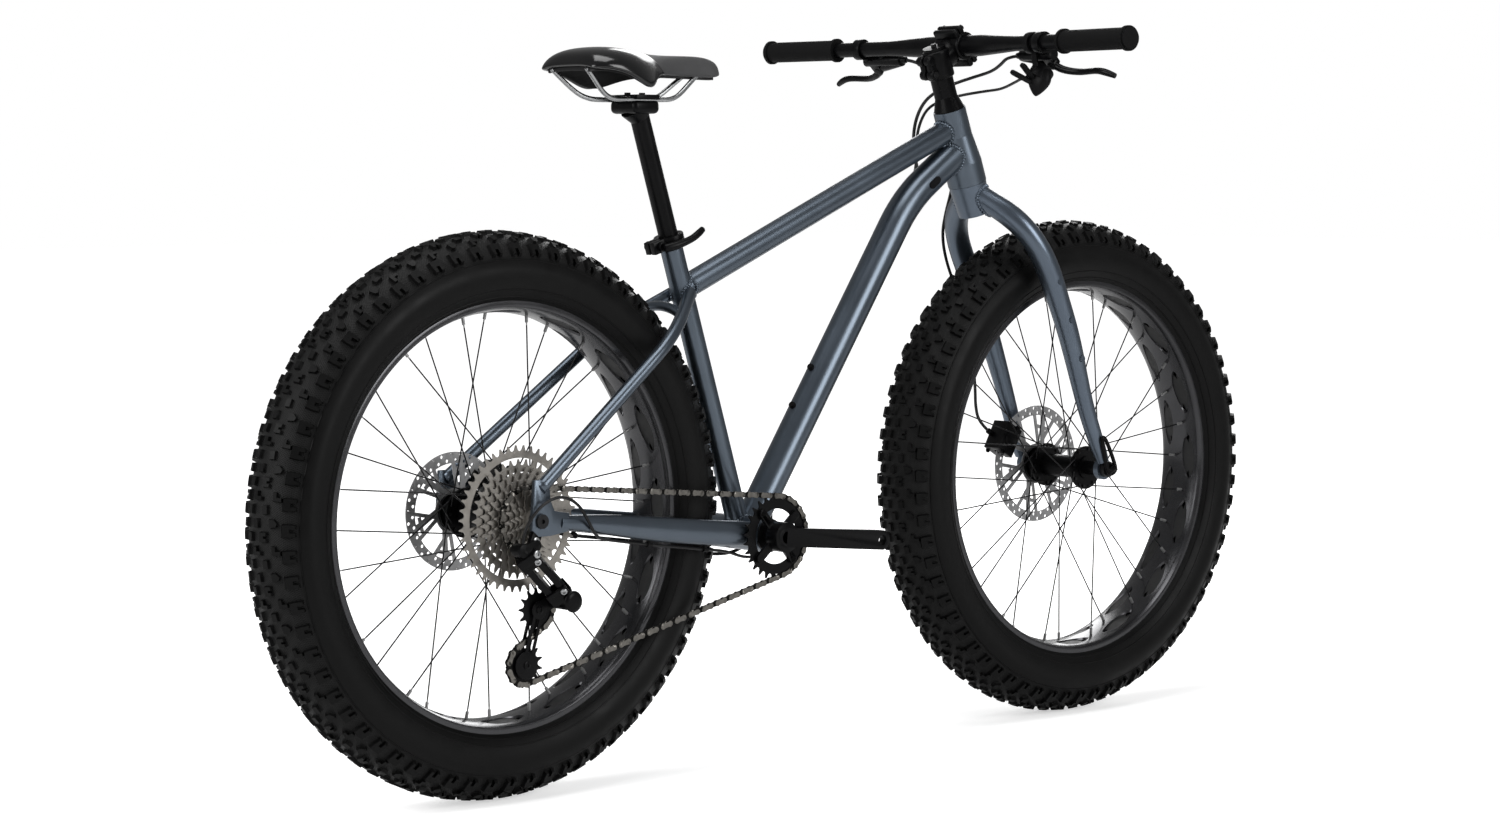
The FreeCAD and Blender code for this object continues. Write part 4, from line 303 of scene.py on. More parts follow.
# Synthetic leather: matte grained top, lacquered rear and side panels beyond a seam
def saddle_leather(name, seam_top, seam_slope):
    material, tree, shader, place = blank(name)
    axes = add(tree, "ShaderNodeSeparateXYZ", {0: place}).outputs
    lean = maths(tree, "MULTIPLY_ADD", axes["Z"], seam_slope, axes["X"])
    side = ramp(tree, lean, seam_top - SEAM_BLUR, seam_top + SEAM_BLUR)
    matte = mixed(tree, noise(tree, place, size=24, detail=6.0), linear("2c2c2d"), linear("3f3f40"))
    tone = mixed(tree, side, linear("040405"), matte)
    gloss = ramp(tree, side, 0.0, 1.0, low=0.17, high=0.62)
    grain = add(tree, "ShaderNodeTexVoronoi", {"Vector": place, "Scale": per_mm(1.6), "feature": "DISTANCE_TO_EDGE"})
    depth = maths(tree, "MULTIPLY", grain.outputs["Distance"], side)
    welt = maths(tree, "COMPARE", lean, seam_top, SEAM_HALF)
    relief = maths(tree, "MULTIPLY_ADD", welt, -SEAM_DEPTH, depth)
    dress(tree, shader, tone, gloss, bump(tree, relief, depth=0.25, strength=0.8))
    return material


# The seam crosses the saddle's crest at a share of its length and runs forward as it goes down
SEAM_SHARE = 0.42
SEAM_SLOPE = 1.15
SEAM_HALF = 1.4 * MM
SEAM_BLUR = 1.0 * MM
SEAM_DEPTH = 1.6
low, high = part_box("saddle_cover")
SADDLE_SKIN = saddle_leather(
    "stitched_saddle_leatherette", low.x + SEAM_SHARE * (high.x - low.x) + SEAM_SLOPE * high.z, SEAM_SLOPE)


# Rubber of the tyres: the casing shows its threads and is coloured lighter as a painted sheen; knobs and side walls
# are plain and darker
def tyre_rubber(name, centre):
    material, tree, shader, place = blank(name)
    local = add(tree, "ShaderNodeMapping", {"Vector": place, "Location": [-c for c in centre]})
    axes = add(tree, "ShaderNodeSeparateXYZ", {0: local.outputs[0]}).outputs
    turn = maths(tree, "ARCTAN2", axes["Z"], axes["X"])
    across = maths(tree, "MULTIPLY", axes["Y"], 2 * math.pi / THREAD_PITCH)
    around = maths(tree, "MULTIPLY", turn, THREADS_AROUND)
    waves = [maths(tree, "SINE", maths(tree, way, around, across)) for way in ("ADD", "SUBTRACT")]
    weave = maths(tree, "MAXIMUM", *waves)
    dust = noise(tree, place, size=30, detail=6.0)
    grit = noise(tree, place, size=1.2, detail=2.0)
    tread = ramp(tree, maths(tree, "ABSOLUTE", axes["Y"]), WALL_START + WALL_BLUR, WALL_START - WALL_BLUR)
    flat = add(tree, "ShaderNodeCombineXYZ", {0: axes["X"], 1: axes["Z"]})
    ring = add(tree, "ShaderNodeVectorMath", {"operation": "LENGTH", 0: flat.outputs[0]})
    tall = maths(tree, "SUBTRACT", ring.outputs["Value"], SECTION_CENTRE)
    square = maths(tree, "MULTIPLY_ADD", tall, tall, maths(tree, "MULTIPLY", axes["Y"], axes["Y"]))
    knob = ramp(tree, maths(tree, "SQRT", square), KNOB_FOOT, KNOB_FOOT + KNOB_BLUR)
    casing = add(tree, "ShaderNodeMath", {"operation": "SUBTRACT", 0: tread, 1: knob, "use_clamp": True}).outputs[0]
    plain = mixed(tree, dust, linear("050505"), linear("0b0b0b"))
    # Painted sheen: the casing between the knobs is coloured lighter than knobs and side walls, over its real thread
    # weave
    threads_and_painted_sheen = mixed(tree, weave, linear("0a0a0a"), linear("1d1d1d"))
    tone = mixed(tree, casing, plain, threads_and_painted_sheen)
    gloss = ramp(tree, dust, *DRIFT_RANGE, low=0.38, high=0.52)
    threads = bump(tree, maths(tree, "MULTIPLY", weave, casing), depth=0.16, strength=0.9)
    dress(tree, shader, tone, gloss, bump(tree, grit, depth=0.08, strength=0.7, under=threads))
    shader.inputs["Specular IOR Level"].default_value = 0.11
    return material


# The side wall starts this far from the tyre's middle plane, within a blur
WALL_START = 47 * MM
WALL_BLUR = 2 * MM

# Thread spacing of the casing, drawn at 3 mm so that it shows in the render
THREADS_AROUND = 760
THREAD_PITCH = 3.0 * MM

# Tyre casing: section angles from the crown, in degrees, and section radii
CROWN_SECTION = 51.6 * MM
WALL_SECTION = 55.2 * MM
BEAD_SECTION = 53.4 * MM
KNOB_FOOT = CROWN_SECTION + 0.6 * MM
KNOB_BLUR = 1.0 * MM
CROWN_EDGE = 62
WALL_MIDDLE = 88
BEAD_ANGLE = 133
CASING_WALL = 3 * MM
TYRE_STEPS = 216
RIDGE_ANGLES = (69, 112, 124)
RIDGE_HEIGHT = 0.8 * MM
RIDGE_SHAPE = ((-1.2, 0), (-0.5, RIDGE_HEIGHT), (0.5, RIDGE_HEIGHT), (1.2, 0))
RIDGE_ROOM = 1.6
SECTION_STEP = 4
INSIDE_STEP = 19


def section_radius(angle):
    reach = abs(angle)
    if reach < CROWN_EDGE:
        return CROWN_SECTION
    if reach < WALL_MIDDLE:
        share = (reach - CROWN_EDGE) / (WALL_MIDDLE - CROWN_EDGE)
        return CROWN_SECTION + (WALL_SECTION - CROWN_SECTION) * share * share * (3 - 2 * share)
    share = (reach - WALL_MIDDLE) / (BEAD_ANGLE - WALL_MIDDLE)
    return WALL_SECTION + (BEAD_SECTION - WALL_SECTION) * share * share


def section_point(centre, angle, radius):
    turn = math.radians(angle)
    height = SECTION_CENTRE + radius * math.cos(turn)
    return centre + Vector((0, radius * math.sin(turn), height))


def casing_profile(centre):
    angles = sorted(set(range(-BEAD_ANGLE, BEAD_ANGLE + 1, SECTION_STEP)) | {BEAD_ANGLE})
    marks = {}
    for ridge in RIDGE_ANGLES:
        for side in (1, -1):
            for shift, rise in RIDGE_SHAPE:
                marks[side * (ridge + shift)] = rise
    angles = [a for a in angles if all(abs(abs(a) - r) > RIDGE_ROOM for r in RIDGE_ANGLES)] + list(marks)
    points = []
    for angle in sorted(angles):
        points.append(section_point(centre, angle, section_radius(angle) + marks.get(angle, 0)))
    back = range(BEAD_ANGLE, -BEAD_ANGLE - 1, -INSIDE_STEP)
    return points + [section_point(centre, a, section_radius(a) - CASING_WALL) for a in back]


# Tread knobs: plan outlines in millimetres, along and across the tyre, then rows of
# outline, angle from the crown, phase, stride and height
CLAW = (
    (-8.6, -9), (8.6, -9), (9, 0), (8, 10), (3.2, 10), (2.8, 1.5), (-2.8, 1.5), (-3.2, 10), (-8, 10), (-9, 0),
)
ELBOW = ((-6.2, -6.2), (6.2, -6.2), (6.2, -1.2), (-0.8, -1.2), (-0.8, 6.6), (-6.2, 6.6))
WEDGE = ((-6.2, -5.4), (6, -6.6), (6.2, 0.8), (0.6, 6.2), (-4, 4.2))
BLOCK = ((-7, -5.6), (7, -5.6), (7, 5.6), (1.8, 5.6), (1.8, 1), (-1.8, 1), (-1.8, 5.6), (-7, 5.6))
BAR = ((-6.4, -3.6), (5.6, -4.6), (6.4, 3.6), (-5.6, 4.6))
KNOB_ROWS = (
    (CLAW, 53, 0, 1, 6.2), (ELBOW, 36.5, 0.0, 2, 5.8), (WEDGE, 33, 0.5, 2, 5.8),
    (BLOCK, 18, 0.25, 2, 5.7), (BAR, 20, 0.75, 2, 5.7), (BAR, 6, 0.5, 2, 5.7), (ELBOW, 7.5, 0.0, 2, 5.7),
)
KNOBS_AROUND = 68
KNOB_SINK = 0.8 * MM
KNOB_TAPER = 0.86
KNOB_STAGGER = 0.25


def add_knob_row(bm, centre, outline, angle, phase, stride, height, side):
    corners = [bm.verts.new((x * MM, side * y * MM, 0)) for x, y in outline]
    top = raise_face(bm, bm.faces.new(corners), keep=False)
    bmesh.ops.scale(bm, verts=top, vec=(KNOB_TAPER, KNOB_TAPER, 1))
    bmesh.ops.translate(bm, verts=top, vec=(0, 0, height * MM))
    verts = corners + top
    tilt = Matrix.Rotation(math.radians(-side * angle), 4, "X")
    seat = section_point(centre, side * angle, section_radius(angle) - KNOB_SINK)
    turn = Matrix.Rotation(2 * math.pi / KNOBS_AROUND * phase * stride, 4, "Y")
    swing = Matrix.Translation(centre) @ turn @ Matrix.Translation(-centre)
    bmesh.ops.transform(bm, matrix=swing @ Matrix.Translation(seat) @ tilt, verts=verts)
    copy_round(bm, verts, centre, KNOBS_AROUND // stride)


def make_tyre(end):
    centre = WHEEL_CENTRES[end]
    rubber = tyre_rubber("moulded_tyre_rubber_" + end, centre)
    bm = bmesh.new()
    corners = [bm.verts.new(p) for p in casing_profile(centre)]
    rim = [bm.edges.new((a, b)) for a, b in zip(corners, corners[1:] + corners[:1])]
    spin_round(bm, corners + rim, centre, LEFT, TYRE_STEPS)
    bmesh.ops.remove_doubles(bm, verts=bm.verts, dist=1e-6)
    for outline, angle, phase, stride, height in KNOB_ROWS:
        for side in (1, -1):
            shift = phase + (KNOB_STAGGER if side < 0 else 0)
            add_knob_row(bm, centre, outline, angle, shift, stride, height, side)
    tyre = publish(bm, end + "_tyre_tread", rubber, end + "_wheel", 32)
    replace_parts(tyre, end + "_tyre")


for end in WHEEL_CENTRES:
    make_tyre(end)

# Rims: one wall with almond windows in two staggered rows, closed by a strip
RIM_HALF = (
    (8, 269.3), (17, 270.4), (25, 272.1), (33, 274.4), (40, 277.4), (40, 286), (37, 286), (37, 279.5), (24, 279.5),
    (18, 273),
)
RIM_PROFILE = (*RIM_HALF, *[(-y, r) for y, r in reversed(RIM_HALF)], (0, 269))
RIM_CORNER = 0.7
RIM_FLANK = 30 * MM
RIM_STEPS = 192
WINDOWS_EACH_SIDE = 16
WINDOW_PLACE = 18.5
WINDOW_LENGTH = 66
WINDOW_WIDTH = 21
WINDOW_SLANT = 0.45
WINDOW_POINT = 0.35
WINDOW_FLOOR = 272.2
WINDOW_MOUTH = 267.5
WINDOW_FLARE = 1.14
WINDOW_TILT = 8.5


def window_cutters(centre):
    bm = bmesh.new()
    for side in (1, -1):
        verts = bmesh.ops.create_circle(bm, cap_ends=True, segments=24, radius=1.0)["verts"]
        for vert in verts:
            wide = vert.co.y * abs(vert.co.y) ** WINDOW_POINT * WINDOW_WIDTH / 2
            vert.co = (MM * (vert.co.x * WINDOW_LENGTH / 2 + side * WINDOW_SLANT * wide), MM * wide, 0)
        lid = verts[0].link_faces[0]
        mouth = raise_face(bm, lid)
        bmesh.ops.scale(bm, verts=mouth, vec=(WINDOW_FLARE, WINDOW_FLARE, 1))
        bmesh.ops.translate(bm, verts=mouth, vec=(0, 0, (WINDOW_MOUTH - WINDOW_FLOOR) * MM))
        lid.material_index = 1
        verts += mouth
        place = Vector((0, side * WINDOW_PLACE * MM, WINDOW_FLOOR * MM))
        turn = math.pi / WINDOWS_EACH_SIDE if side > 0 else 0
        swing = Matrix.Rotation(turn, 4, "Y") @ Matrix.Translation(place)
        tilt = Matrix.Rotation(math.radians(side * WINDOW_TILT), 4, "X")
        bmesh.ops.transform(bm, matrix=Matrix.Translation(centre) @ swing @ tilt, verts=verts)
        copy_round(bm, verts, centre, WINDOWS_EACH_SIDE)
    return publish(bm, "window_cutters", RIM_BLACK, second=RIM_STRIP)


def make_rim(end):
    centre = WHEEL_CENTRES[end]
    bm = bmesh.new()
    section = bm.faces.new([bm.verts.new(centre + Vector((0, y * MM, r * MM))) for y, r in RIM_PROFILE])
    sharp = [v for v in section.verts if abs(v.co.y) > RIM_FLANK]
    break_edges(bm, sharp, RIM_CORNER, 2, "VERTICES")
    bmesh.ops.delete(bm, geom=list(bm.faces), context="FACES_ONLY")
    spin_round(bm, [*bm.verts, *bm.edges], centre, LEFT, RIM_STEPS)
    blank_rim = publish(bm, end + "_rim_blank", RIM_BLACK, second=RIM_STRIP)
    cutters = window_cutters(centre)
    cut = blank_rim.modifiers.new("windows", "BOOLEAN")
    cut.operation = "DIFFERENCE"
    cut.solver = "MANIFOLD"
    cut.object = cutters
    mesh = finished_mesh(blank_rim)
    for spent in (blank_rim, cutters):
        bpy.data.objects.remove(spent)
    made = place_mesh(mesh, end + "_rim_windows", RIM_BLACK, end + "_wheel", 28, RIM_STRIP)
    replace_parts(made, end + "_rim")


for end in WHEEL_CENTRES:
    make_rim(end)

# Hoses and cable, along the routes of the CAD model
REAR_HOSE_ROUTE = (
    (329.3, -114.6, 998), (331.6, -92, 997), (345, -66, 987), (359, -34, 978), (366, 4, 972), (360, 40, 963),
    (343, 65, 951), (321, 71, 934), (303, 70, 907), (291, 63, 876), (281, 47, 849), (266, 27, 826),
    (238, 6, 806), (200, -8, 774),
    (-58, 9, 396), (-72, 10, 352), (-70, 12, 328), (-84, 17, 304), (-112, 24, 291), (-150, 38, 293),
    (-188, 54, 306), (-240, 67, 314.5), (-300, 74, 323), (-352, 80, 330.5), (-395, 82, 338), (-418, 75, 347),
    (-441, 71, 353), (-460, 72, 361), (-470, 73.5, 376.5), (-475.2, 74, 386),
)
SHIFT_ROUTE = (
    (322, -146, 968), (334, -120, 966), (352, -86, 960), (368, -46, 952), (378, -4, 950), (371, 38, 945),
    (354, 62, 938), (335, 76, 926), (322, 80, 903), (312, 77, 877), (299, 63, 850),
    (274, 42, 827), (248, 26, 812), (222, 12, 786),
    (188, 9, 742), (-66, -9, 368), (-64, -11, 338), (-78, -17, 308), (-106, -26, 291), (-146, -41, 294),
    (-188, -55, 307), (-240, -67, 314.5), (-300, -74, 323), (-352, -80, 330.5), (-402, -86.5, 338.5),
    (-440, -93, 345), (-463, -104, 351), (-482, -112, 372), (-500, -113, 398), (-528, -113, 411),
    (-558, -113, 403), (-580, -112, 383), (-590, -110, 364), (-590, -109, 351.5),
)
FRONT_HOSE_ROUTE = (
    (329.3, 114.6, 998), (332, 94, 995), (347, 78, 978), (361, 66, 950), (366, 57, 912), (368, 54, 870),
    (374, 58, 832), (380, 70, 800), (384, 86, 768), (390, 100, 734), (404, 105, 694), (428, 104, 645),
    (446, 102, 600), (455, 100, 564), (457, 97, 530), (454, 91, 498), (447, 83.5, 470), (446, 75.5, 448),
    (459.3, 69.2, 434),
)
HOSE_RADIUS = 2.5 * MM
CABLE_RADIUS = 2.2 * MM


def make_cord(node, route, radius, body):
    points = [Vector(p) * MM for p in route]
    path = [v.co.copy() for v in spline_mesh(points, "NURBS").vertices]
    tube = place_mesh(spline_mesh(points, "NURBS", radius=radius), node + "_jacket", HOSE_JACKET, body, 60)
    if not body:
        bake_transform(tube)
    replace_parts(tube, node)


make_cord("rear_brake_hose", REAR_HOSE_ROUTE, HOSE_RADIUS, None)
make_cord("shift_cable", SHIFT_ROUTE, CABLE_RADIUS, None)
make_cord("front_brake_hose", FRONT_HOSE_ROUTE, HOSE_RADIUS, "fork")

# Weld beads where tubes meet, in millimetres: a tube runs from start to aim and stops at its walls.
# A line that misses a wall by a little still counts as meeting it
BB = Vector((-115, 0, 324))
HEAD_LOW = Vector((342.317, 0, 813.66))
HEAD_TOP = Vector((303.929, 0, 922.064))
SEAT_TOP = Vector((-243.466, 0, 736.457))
TOP_FRONT = Vector((313.11, 0, 896.14))
TOP_REAR = Vector((-222.35, 0, 668.67))
DOWN_FRONT = Vector((324.29, 0, 864.56))
DOWN_NOSE = Vector((0.8241, 0, 0.5664))
DOWN_FOOT = Vector((-103.7, 0, 324))
DOWN_RUN = Vector((0.565, 0, 0.825))
STAY_BEND = Vector((-281.3, 76, 601.4))
STAY_TOP = Vector((-221.2, 17, 664.9))
LEG_BEND = Vector((368.6, 42, 775.5))
LEG_ROOT = Vector((353.5, 16, 794.1))
TOP_RADIUS = 17
DOWN_RADIUS = 23
SEAT_RADIUS = 15.9
STAY_RADIUS = 9
LEG_RADIUS = 17.5
HEAD_WALL = (HEAD_LOW, HEAD_TOP - HEAD_LOW, 26.6)
HEAD_LOW_WALL = (HEAD_LOW, HEAD_TOP - HEAD_LOW, 27.6)
CROWN_WALL = (HEAD_LOW, HEAD_TOP - HEAD_LOW, 27.0)
SEAT_WALL = (BB, SEAT_TOP - BB, SEAT_RADIUS)
SHELL_WALL = (BB, LEFT, 24)
TOP_WALL = (TOP_REAR, TOP_FRONT - TOP_REAR, TOP_RADIUS)
WELD_APPROACH = 90
WELD_STEPS = 240
BEAD_RADIUS = 3.2
BEAD_PITCH = 4.2
BEAD_DIP = 0.2
LEAST_BEADS = 12
WELD_FAR = 1.3
GRAZE = 0.35


def mirrored(place, side):
    return Vector((place[0], side * place[1], place[2]))


def reach(origin, heading, wall):
    """How far a line goes before it meets a round wall, or None where it passes by."""
    spot, along, radius = wall
    along = along.normalized()
    side = heading - along * heading.dot(along)
    gap = (origin - spot) - along * (origin - spot).dot(along)
    a, b, c = side.length_squared, 2 * side.dot(gap), gap.length_squared - radius * radius
    inner = b * b - 4 * a * c
    if a < 1e-9 or inner < -GRAZE * b * b:
        return None
    return (-b - math.sqrt(max(inner, 0))) / (2 * a)


def weld_ring(bm, start, aim, radius, walls):
    heading = (aim - start).normalized()
    first = LEFT if abs(heading.y) < 0.9 else Vector((1, 0, 0))
    first = (first - heading * first.dot(heading)).normalized()
    second = heading.cross(first)
    points, far = [], (aim - start).length * WELD_FAR
    for index in range(WELD_STEPS):
        turn = 2 * math.pi * index / WELD_STEPS
        edge = start + (first * math.cos(turn) + second * math.sin(turn)) * radius
        runs = [r for r in (reach(edge, heading, wall) for wall in walls) if r is not None and 0 < r < far]
        if runs:
            points.append((edge + heading * min(runs)) * MM)
    length = sum((b - a).length for a, b in zip(points, points[1:] + points[:1]))
    beads = max(LEAST_BEADS, round(length / (BEAD_PITCH * MM)))
    wave = 2 * math.pi * beads / len(points)
    swell = [1 - BEAD_DIP * (1 - math.cos(wave * i)) for i in range(len(points))]
    bm.from_mesh(spline_mesh(points, "POLY", closed=True, radius=BEAD_RADIUS * MM, swell=swell))


def make_frame_welds():
    bm = bmesh.new()
    middle = (TOP_FRONT + TOP_REAR) / 2
    weld_ring(bm, middle, TOP_FRONT, TOP_RADIUS, [HEAD_WALL])
    weld_ring(bm, middle, TOP_REAR, TOP_RADIUS, [SEAT_WALL])
    weld_ring(bm, DOWN_FRONT - DOWN_NOSE * WELD_APPROACH, DOWN_FRONT, DOWN_RADIUS, [HEAD_LOW_WALL, TOP_WALL])
    weld_ring(bm, DOWN_FOOT + DOWN_RUN * WELD_APPROACH, DOWN_FOOT, DOWN_RADIUS, [SHELL_WALL])
    weld_ring(bm, (BB + SEAT_TOP) / 2, BB, SEAT_RADIUS, [SHELL_WALL])
    for side in (1, -1):
        weld_ring(bm, mirrored(STAY_BEND, side), mirrored(STAY_TOP, side), STAY_RADIUS, [SEAT_WALL])
    made = publish(bm, "frame_weld_beads", FRAME_PAINT, "frame", 50)


def make_fork_welds():
    bm = bmesh.new()
    for side in (1, -1):
        weld_ring(bm, mirrored(LEG_BEND, side), mirrored(LEG_ROOT, side), LEG_RADIUS, [CROWN_WALL])
    made = publish(bm, "fork_weld_beads", FORK_PAINT, "fork", 50)


make_frame_welds()
make_fork_welds()

# Saddle: padded cover with drooping side wings over a hollow base, stations in millimetres:
# place from the rear, half width, crown and hem
SADDLE_STATIONS = (
    (0, 50, 974, 971), (3, 57, 984, 970), (9, 63, 991, 969), (22, 69, 995.5, 967), (45, 74, 997, 962),
    (68, 75, 996.5, 952), (86, 72, 995, 943), (100, 66, 993, 941), (114, 56, 991, 948), (130, 44, 989, 957),
    (150, 33.5, 987.5, 962), (180, 26, 987, 963), (212, 22.5, 987.5, 962), (240, 20, 987, 961),
    (258, 17.5, 984, 961), (267, 13, 979, 962), (271, 7, 972, 964),
)
SADDLE_ACROSS = 20
SADDLE_PAD = 7
BASE_INSET = 8
BASE_WALL = 2.5
SADDLE_ROUND = 0.85
SADDLE_FALL = 1.15
LEAST_HALF = 2
END_INSET = 0.9
FALL_LOSS = 1 / 40
SWELL_PRESSURE = 4.0
SWELL_FRAMES = 20
SWELL_CAP = 2.5 * MM


def saddle_sheet(name, material, inset, wall):
    """The saddle's top as a sheet that follows the stations, moved in by inset and given its wall."""
    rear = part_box("saddle_cover")[0].x
    rows = len(SADDLE_STATIONS) - 1
    bm = bmesh.new()
    bmesh.ops.create_grid(bm, x_segments=rows, y_segments=SADDLE_ACROSS, size=1.0)
    for vert in bm.verts:
        place, half, crown, hem = SADDLE_STATIONS[round((vert.co.x + 1) / 2 * rows)]
        turn = abs(vert.co.y) * math.pi / 2
        out = math.copysign(max(half - inset, LEAST_HALF) * math.sin(turn) ** SADDLE_ROUND, vert.co.y)
        fall = (crown - hem) * (1 - math.cos(turn)) ** SADDLE_FALL * (1 - inset * FALL_LOSS)
        ahead = place + inset * END_INSET * (1 - 2 * place / SADDLE_STATIONS[-1][0])
        vert.co = (rear + ahead * MM, out * MM, (crown - inset - fall) * MM)
    sheet = publish(bm, name + "_sheet", material)
    if sheet.data.polygons[len(sheet.data.polygons) // 2].normal.z < 0:
        sheet.data.flip_normals()
    thick = sheet.modifiers.new("wall", "SOLIDIFY")
    thick.thickness = wall * MM
    thick.offset = -1.0
    mesh = finished_mesh(sheet)
    bpy.data.objects.remove(sheet)
    return place_mesh(mesh, name, material, None, 60)


def swell_pad(pad):
    """Let the foam press the skin out a little, as cloth under pressure."""
    rest = [v.co.copy() for v in pad.data.vertices]
    cloth = pad.modifiers.new("swell", "CLOTH")
    cloth.settings.use_pressure = True
    cloth.settings.uniform_pressure_force = SWELL_PRESSURE
    cloth.settings.effector_weights.gravity = 0.0
    for number in range(1, SWELL_FRAMES + 1):
        bpy.context.scene.frame_set(number)
    swollen = finished_mesh(pad)
    pad.modifiers.clear()
    bpy.context.scene.frame_set(1)
    for vert, start, end in zip(pad.data.vertices, rest, swollen.vertices):
        move = end.co - start
        vert.co = start + move * min(1.0, SWELL_CAP / max(move.length, 1e-9))


def make_saddle():
    pad = saddle_sheet("saddle_pad", SADDLE_SKIN, 0, SADDLE_PAD)
    swell_pad(pad)
    base = saddle_sheet("saddle_base_pan", SADDLE_GLOSS, BASE_INSET, BASE_WALL)
    for piece, node, slot in ((pad, "saddle_cover", "saddle_skin"), (base, "saddle_shell", "saddle_base")):
        finer = piece.modifiers.new("finer", "SUBSURF")
        finer.levels = finer.render_levels = 2
        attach(piece, "saddle")
        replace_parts(piece, node)


make_saddle()

# Finishes of the CAD nodes that stay, and of those with a finer piece in their place
FINISHES = {node: material for material, members in (
    (FRAME_PAINT, (
        "head_tube", "top_tube", "down_tube", "seat_tube", "bottom_bracket_shell", "chainstays", "seatstays",
        "dropouts")),
    (FORK_PAINT, ("fork_steerer", "fork_legs")),
    (DARK_STEEL, ("frame_bearings", "rear_axle", "cockpit_bolts", "front_axle")),
    (BLACK_ALLOY, (
        "seat_collar", "seat_clamp_lever", "seatpost", "saddle_clamp", "headset_spacers", "stem", "stem_faceplate",
        "handlebar", "left_brake_lever", "right_brake_lever", "brake_lever_bodies", "rear_caliper", "front_caliper",
        "crank_arms", "chainring", "derailleur_mount", "derailleur_outer_link", "derailleur_inner_link",
        "derailleur_knuckle", "derailleur_cage", "front_hub", "rear_hub", "front_axle_lever")),
    (BLACK_PLASTIC, (
        "shifter_body", "shift_lever_main", "shift_lever_release", "upper_pulley", "lower_pulley", "frame_fittings")),
    (GRIP_RUBBER, ("grips",)), (RAIL_STEEL, ("saddle_rails",)), (COG_NICKEL, ("cassette",)),
    (FRONT_SPOKES, ("front_spokes",)), (REAR_SPOKES, ("rear_spokes",)), (ROTOR_STEEL, ("front_rotor", "rear_rotor")),
) for node in members}
for name, material in FINISHES.items():
    nodes[name].data.materials.clear()
    nodes[name].data.materials.append(material)

BODY_OF = {node: body for body, members in frame["record"]["behaviour"]["bodies"].items() for node in members}


def add_to(node, bm, name, material, smooth=40):
    """A piece that belongs with a CAD node: it rides on that node's body."""
    made = publish(bm, name, material, BODY_OF[node], smooth)
    return made


def stand_for(node, bm, name, smooth=40):
    """A piece that takes the place and finish of a CAD node."""
    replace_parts(add_to(node, bm, name, FINISHES[node], smooth), node)


def joined_copy(node, gap):
    """A CAD node's mesh with its corners joined."""
    bm = bmesh.new()
    bm.from_mesh(nodes[node].data)
    bmesh.ops.remove_doubles(bm, verts=bm.verts, dist=gap)
    return bm


# Copies of machined nodes with their edges broken, as tumbling and anodising leave them:
# the width of each bevel in millimetres
SOFTENED = {
    "brake_lever_bodies": 1.0, "shifter_body": 1.2, "seat_collar": 0.8, "saddle_clamp": 2.0, "front_caliper": 1.6,
    "rear_caliper": 1.6, "derailleur_mount": 1.0, "derailleur_outer_link": 1.0, "derailleur_knuckle": 1.4,
    "crank_arms": 1.6, "shift_lever_main": 1.0, "shift_lever_release": 1.0, "dropouts": 0.8,
}
FLAT_ANGLE = 1.5
SHARP_ANGLE = 38


def soften(node, width):
    bm = joined_copy(node, 1e-5)
    bmesh.ops.dissolve_limit(bm, angle_limit=math.radians(FLAT_ANGLE), verts=bm.verts, edges=bm.edges)
    sharp = [e for e in bm.edges if len(e.link_faces) == 2 and e.calc_face_angle(0) > math.radians(SHARP_ANGLE)]
    break_edges(bm, sharp, width, 2, clamp=True)
    stand_for(node, bm, node + "_softened", 35)


for node, width in SOFTENED.items():
    soften(node, width)

# Chain: outer plates bright, inner plates and rollers darker
OUTER_LINK_WIDTH = 5.2 * MM


def make_chain():
    bm = joined_copy("chain", 1e-6)
    left = set(bm.verts)
    while left:
        island, front = set(), [left.pop()]
        while front:
            vert = front.pop()
            island.add(vert)
            near = [e.other_vert(vert) for e in vert.link_edges]
            front += [v for v in near if v in left]
            left.difference_update(near)
        width = max(v.co.y for v in island) - min(v.co.y for v in island)
        for face in {f for v in island for f in v.link_faces}:
            face.material_index = 0 if width > OUTER_LINK_WIDTH else 1
    made = publish(bm, "chain_links", CHAIN_STEEL, "frame", 35, CHAIN_INNER)
    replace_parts(made, "chain")


make_chain()

# Builders for turned, forged and cast pieces, in millimetres; a bolt's section is in shares of its radius and height
BOLT_SECTION = ((0, 0.35), (0.5, 0.35), (0.52, 1), (0.82, 1), (1, 0.75), (1, 0), (0, 0))
TURNED_STEPS = 28
TUBE_STEP = 12


def slice_tube(bm, heading):
    """Cut a long tube across every step, so that its faces stay short."""
    places = [v.co.dot(heading) for v in bm.verts]
    for number in range(1, int((max(places) - min(places)) / (TUBE_STEP * MM))):
        bmesh.ops.bisect_plane(
            bm, geom=[*bm.verts, *bm.edges, *bm.faces], plane_no=heading,
            plane_co=heading * (min(places) + number * TUBE_STEP * MM))


def bar(bm, start, end, radius, tip=None, edge=0.0, segments=36):
    start, end = Vector(start) * MM, Vector(end) * MM
    run = end - start
    turn = run.to_track_quat("Z", "Y").to_matrix().to_4x4()
    made = bmesh.ops.create_cone(
        bm, cap_ends=True, segments=segments, radius1=radius * MM, radius2=(tip or radius) * MM,
        depth=run.length, matrix=Matrix.Translation((start + end) / 2) @ turn)["verts"]
    if edge:
        break_edges(bm, {e for v in made for e in v.link_edges if any(len(f.verts) > 4 for f in e.link_faces)}, edge)


def block(bm, centre, size, edge, tilt=0.0):
    place = Matrix.Translation(Vector(centre) * MM) @ Matrix.Rotation(math.radians(tilt), 4, "Y")
    made = bmesh.ops.create_cube(bm, size=1.0, matrix=place @ Matrix.Diagonal((*[d * MM for d in size], 1)))["verts"]
    break_edges(bm, {e for v in made for e in v.link_edges}, edge)


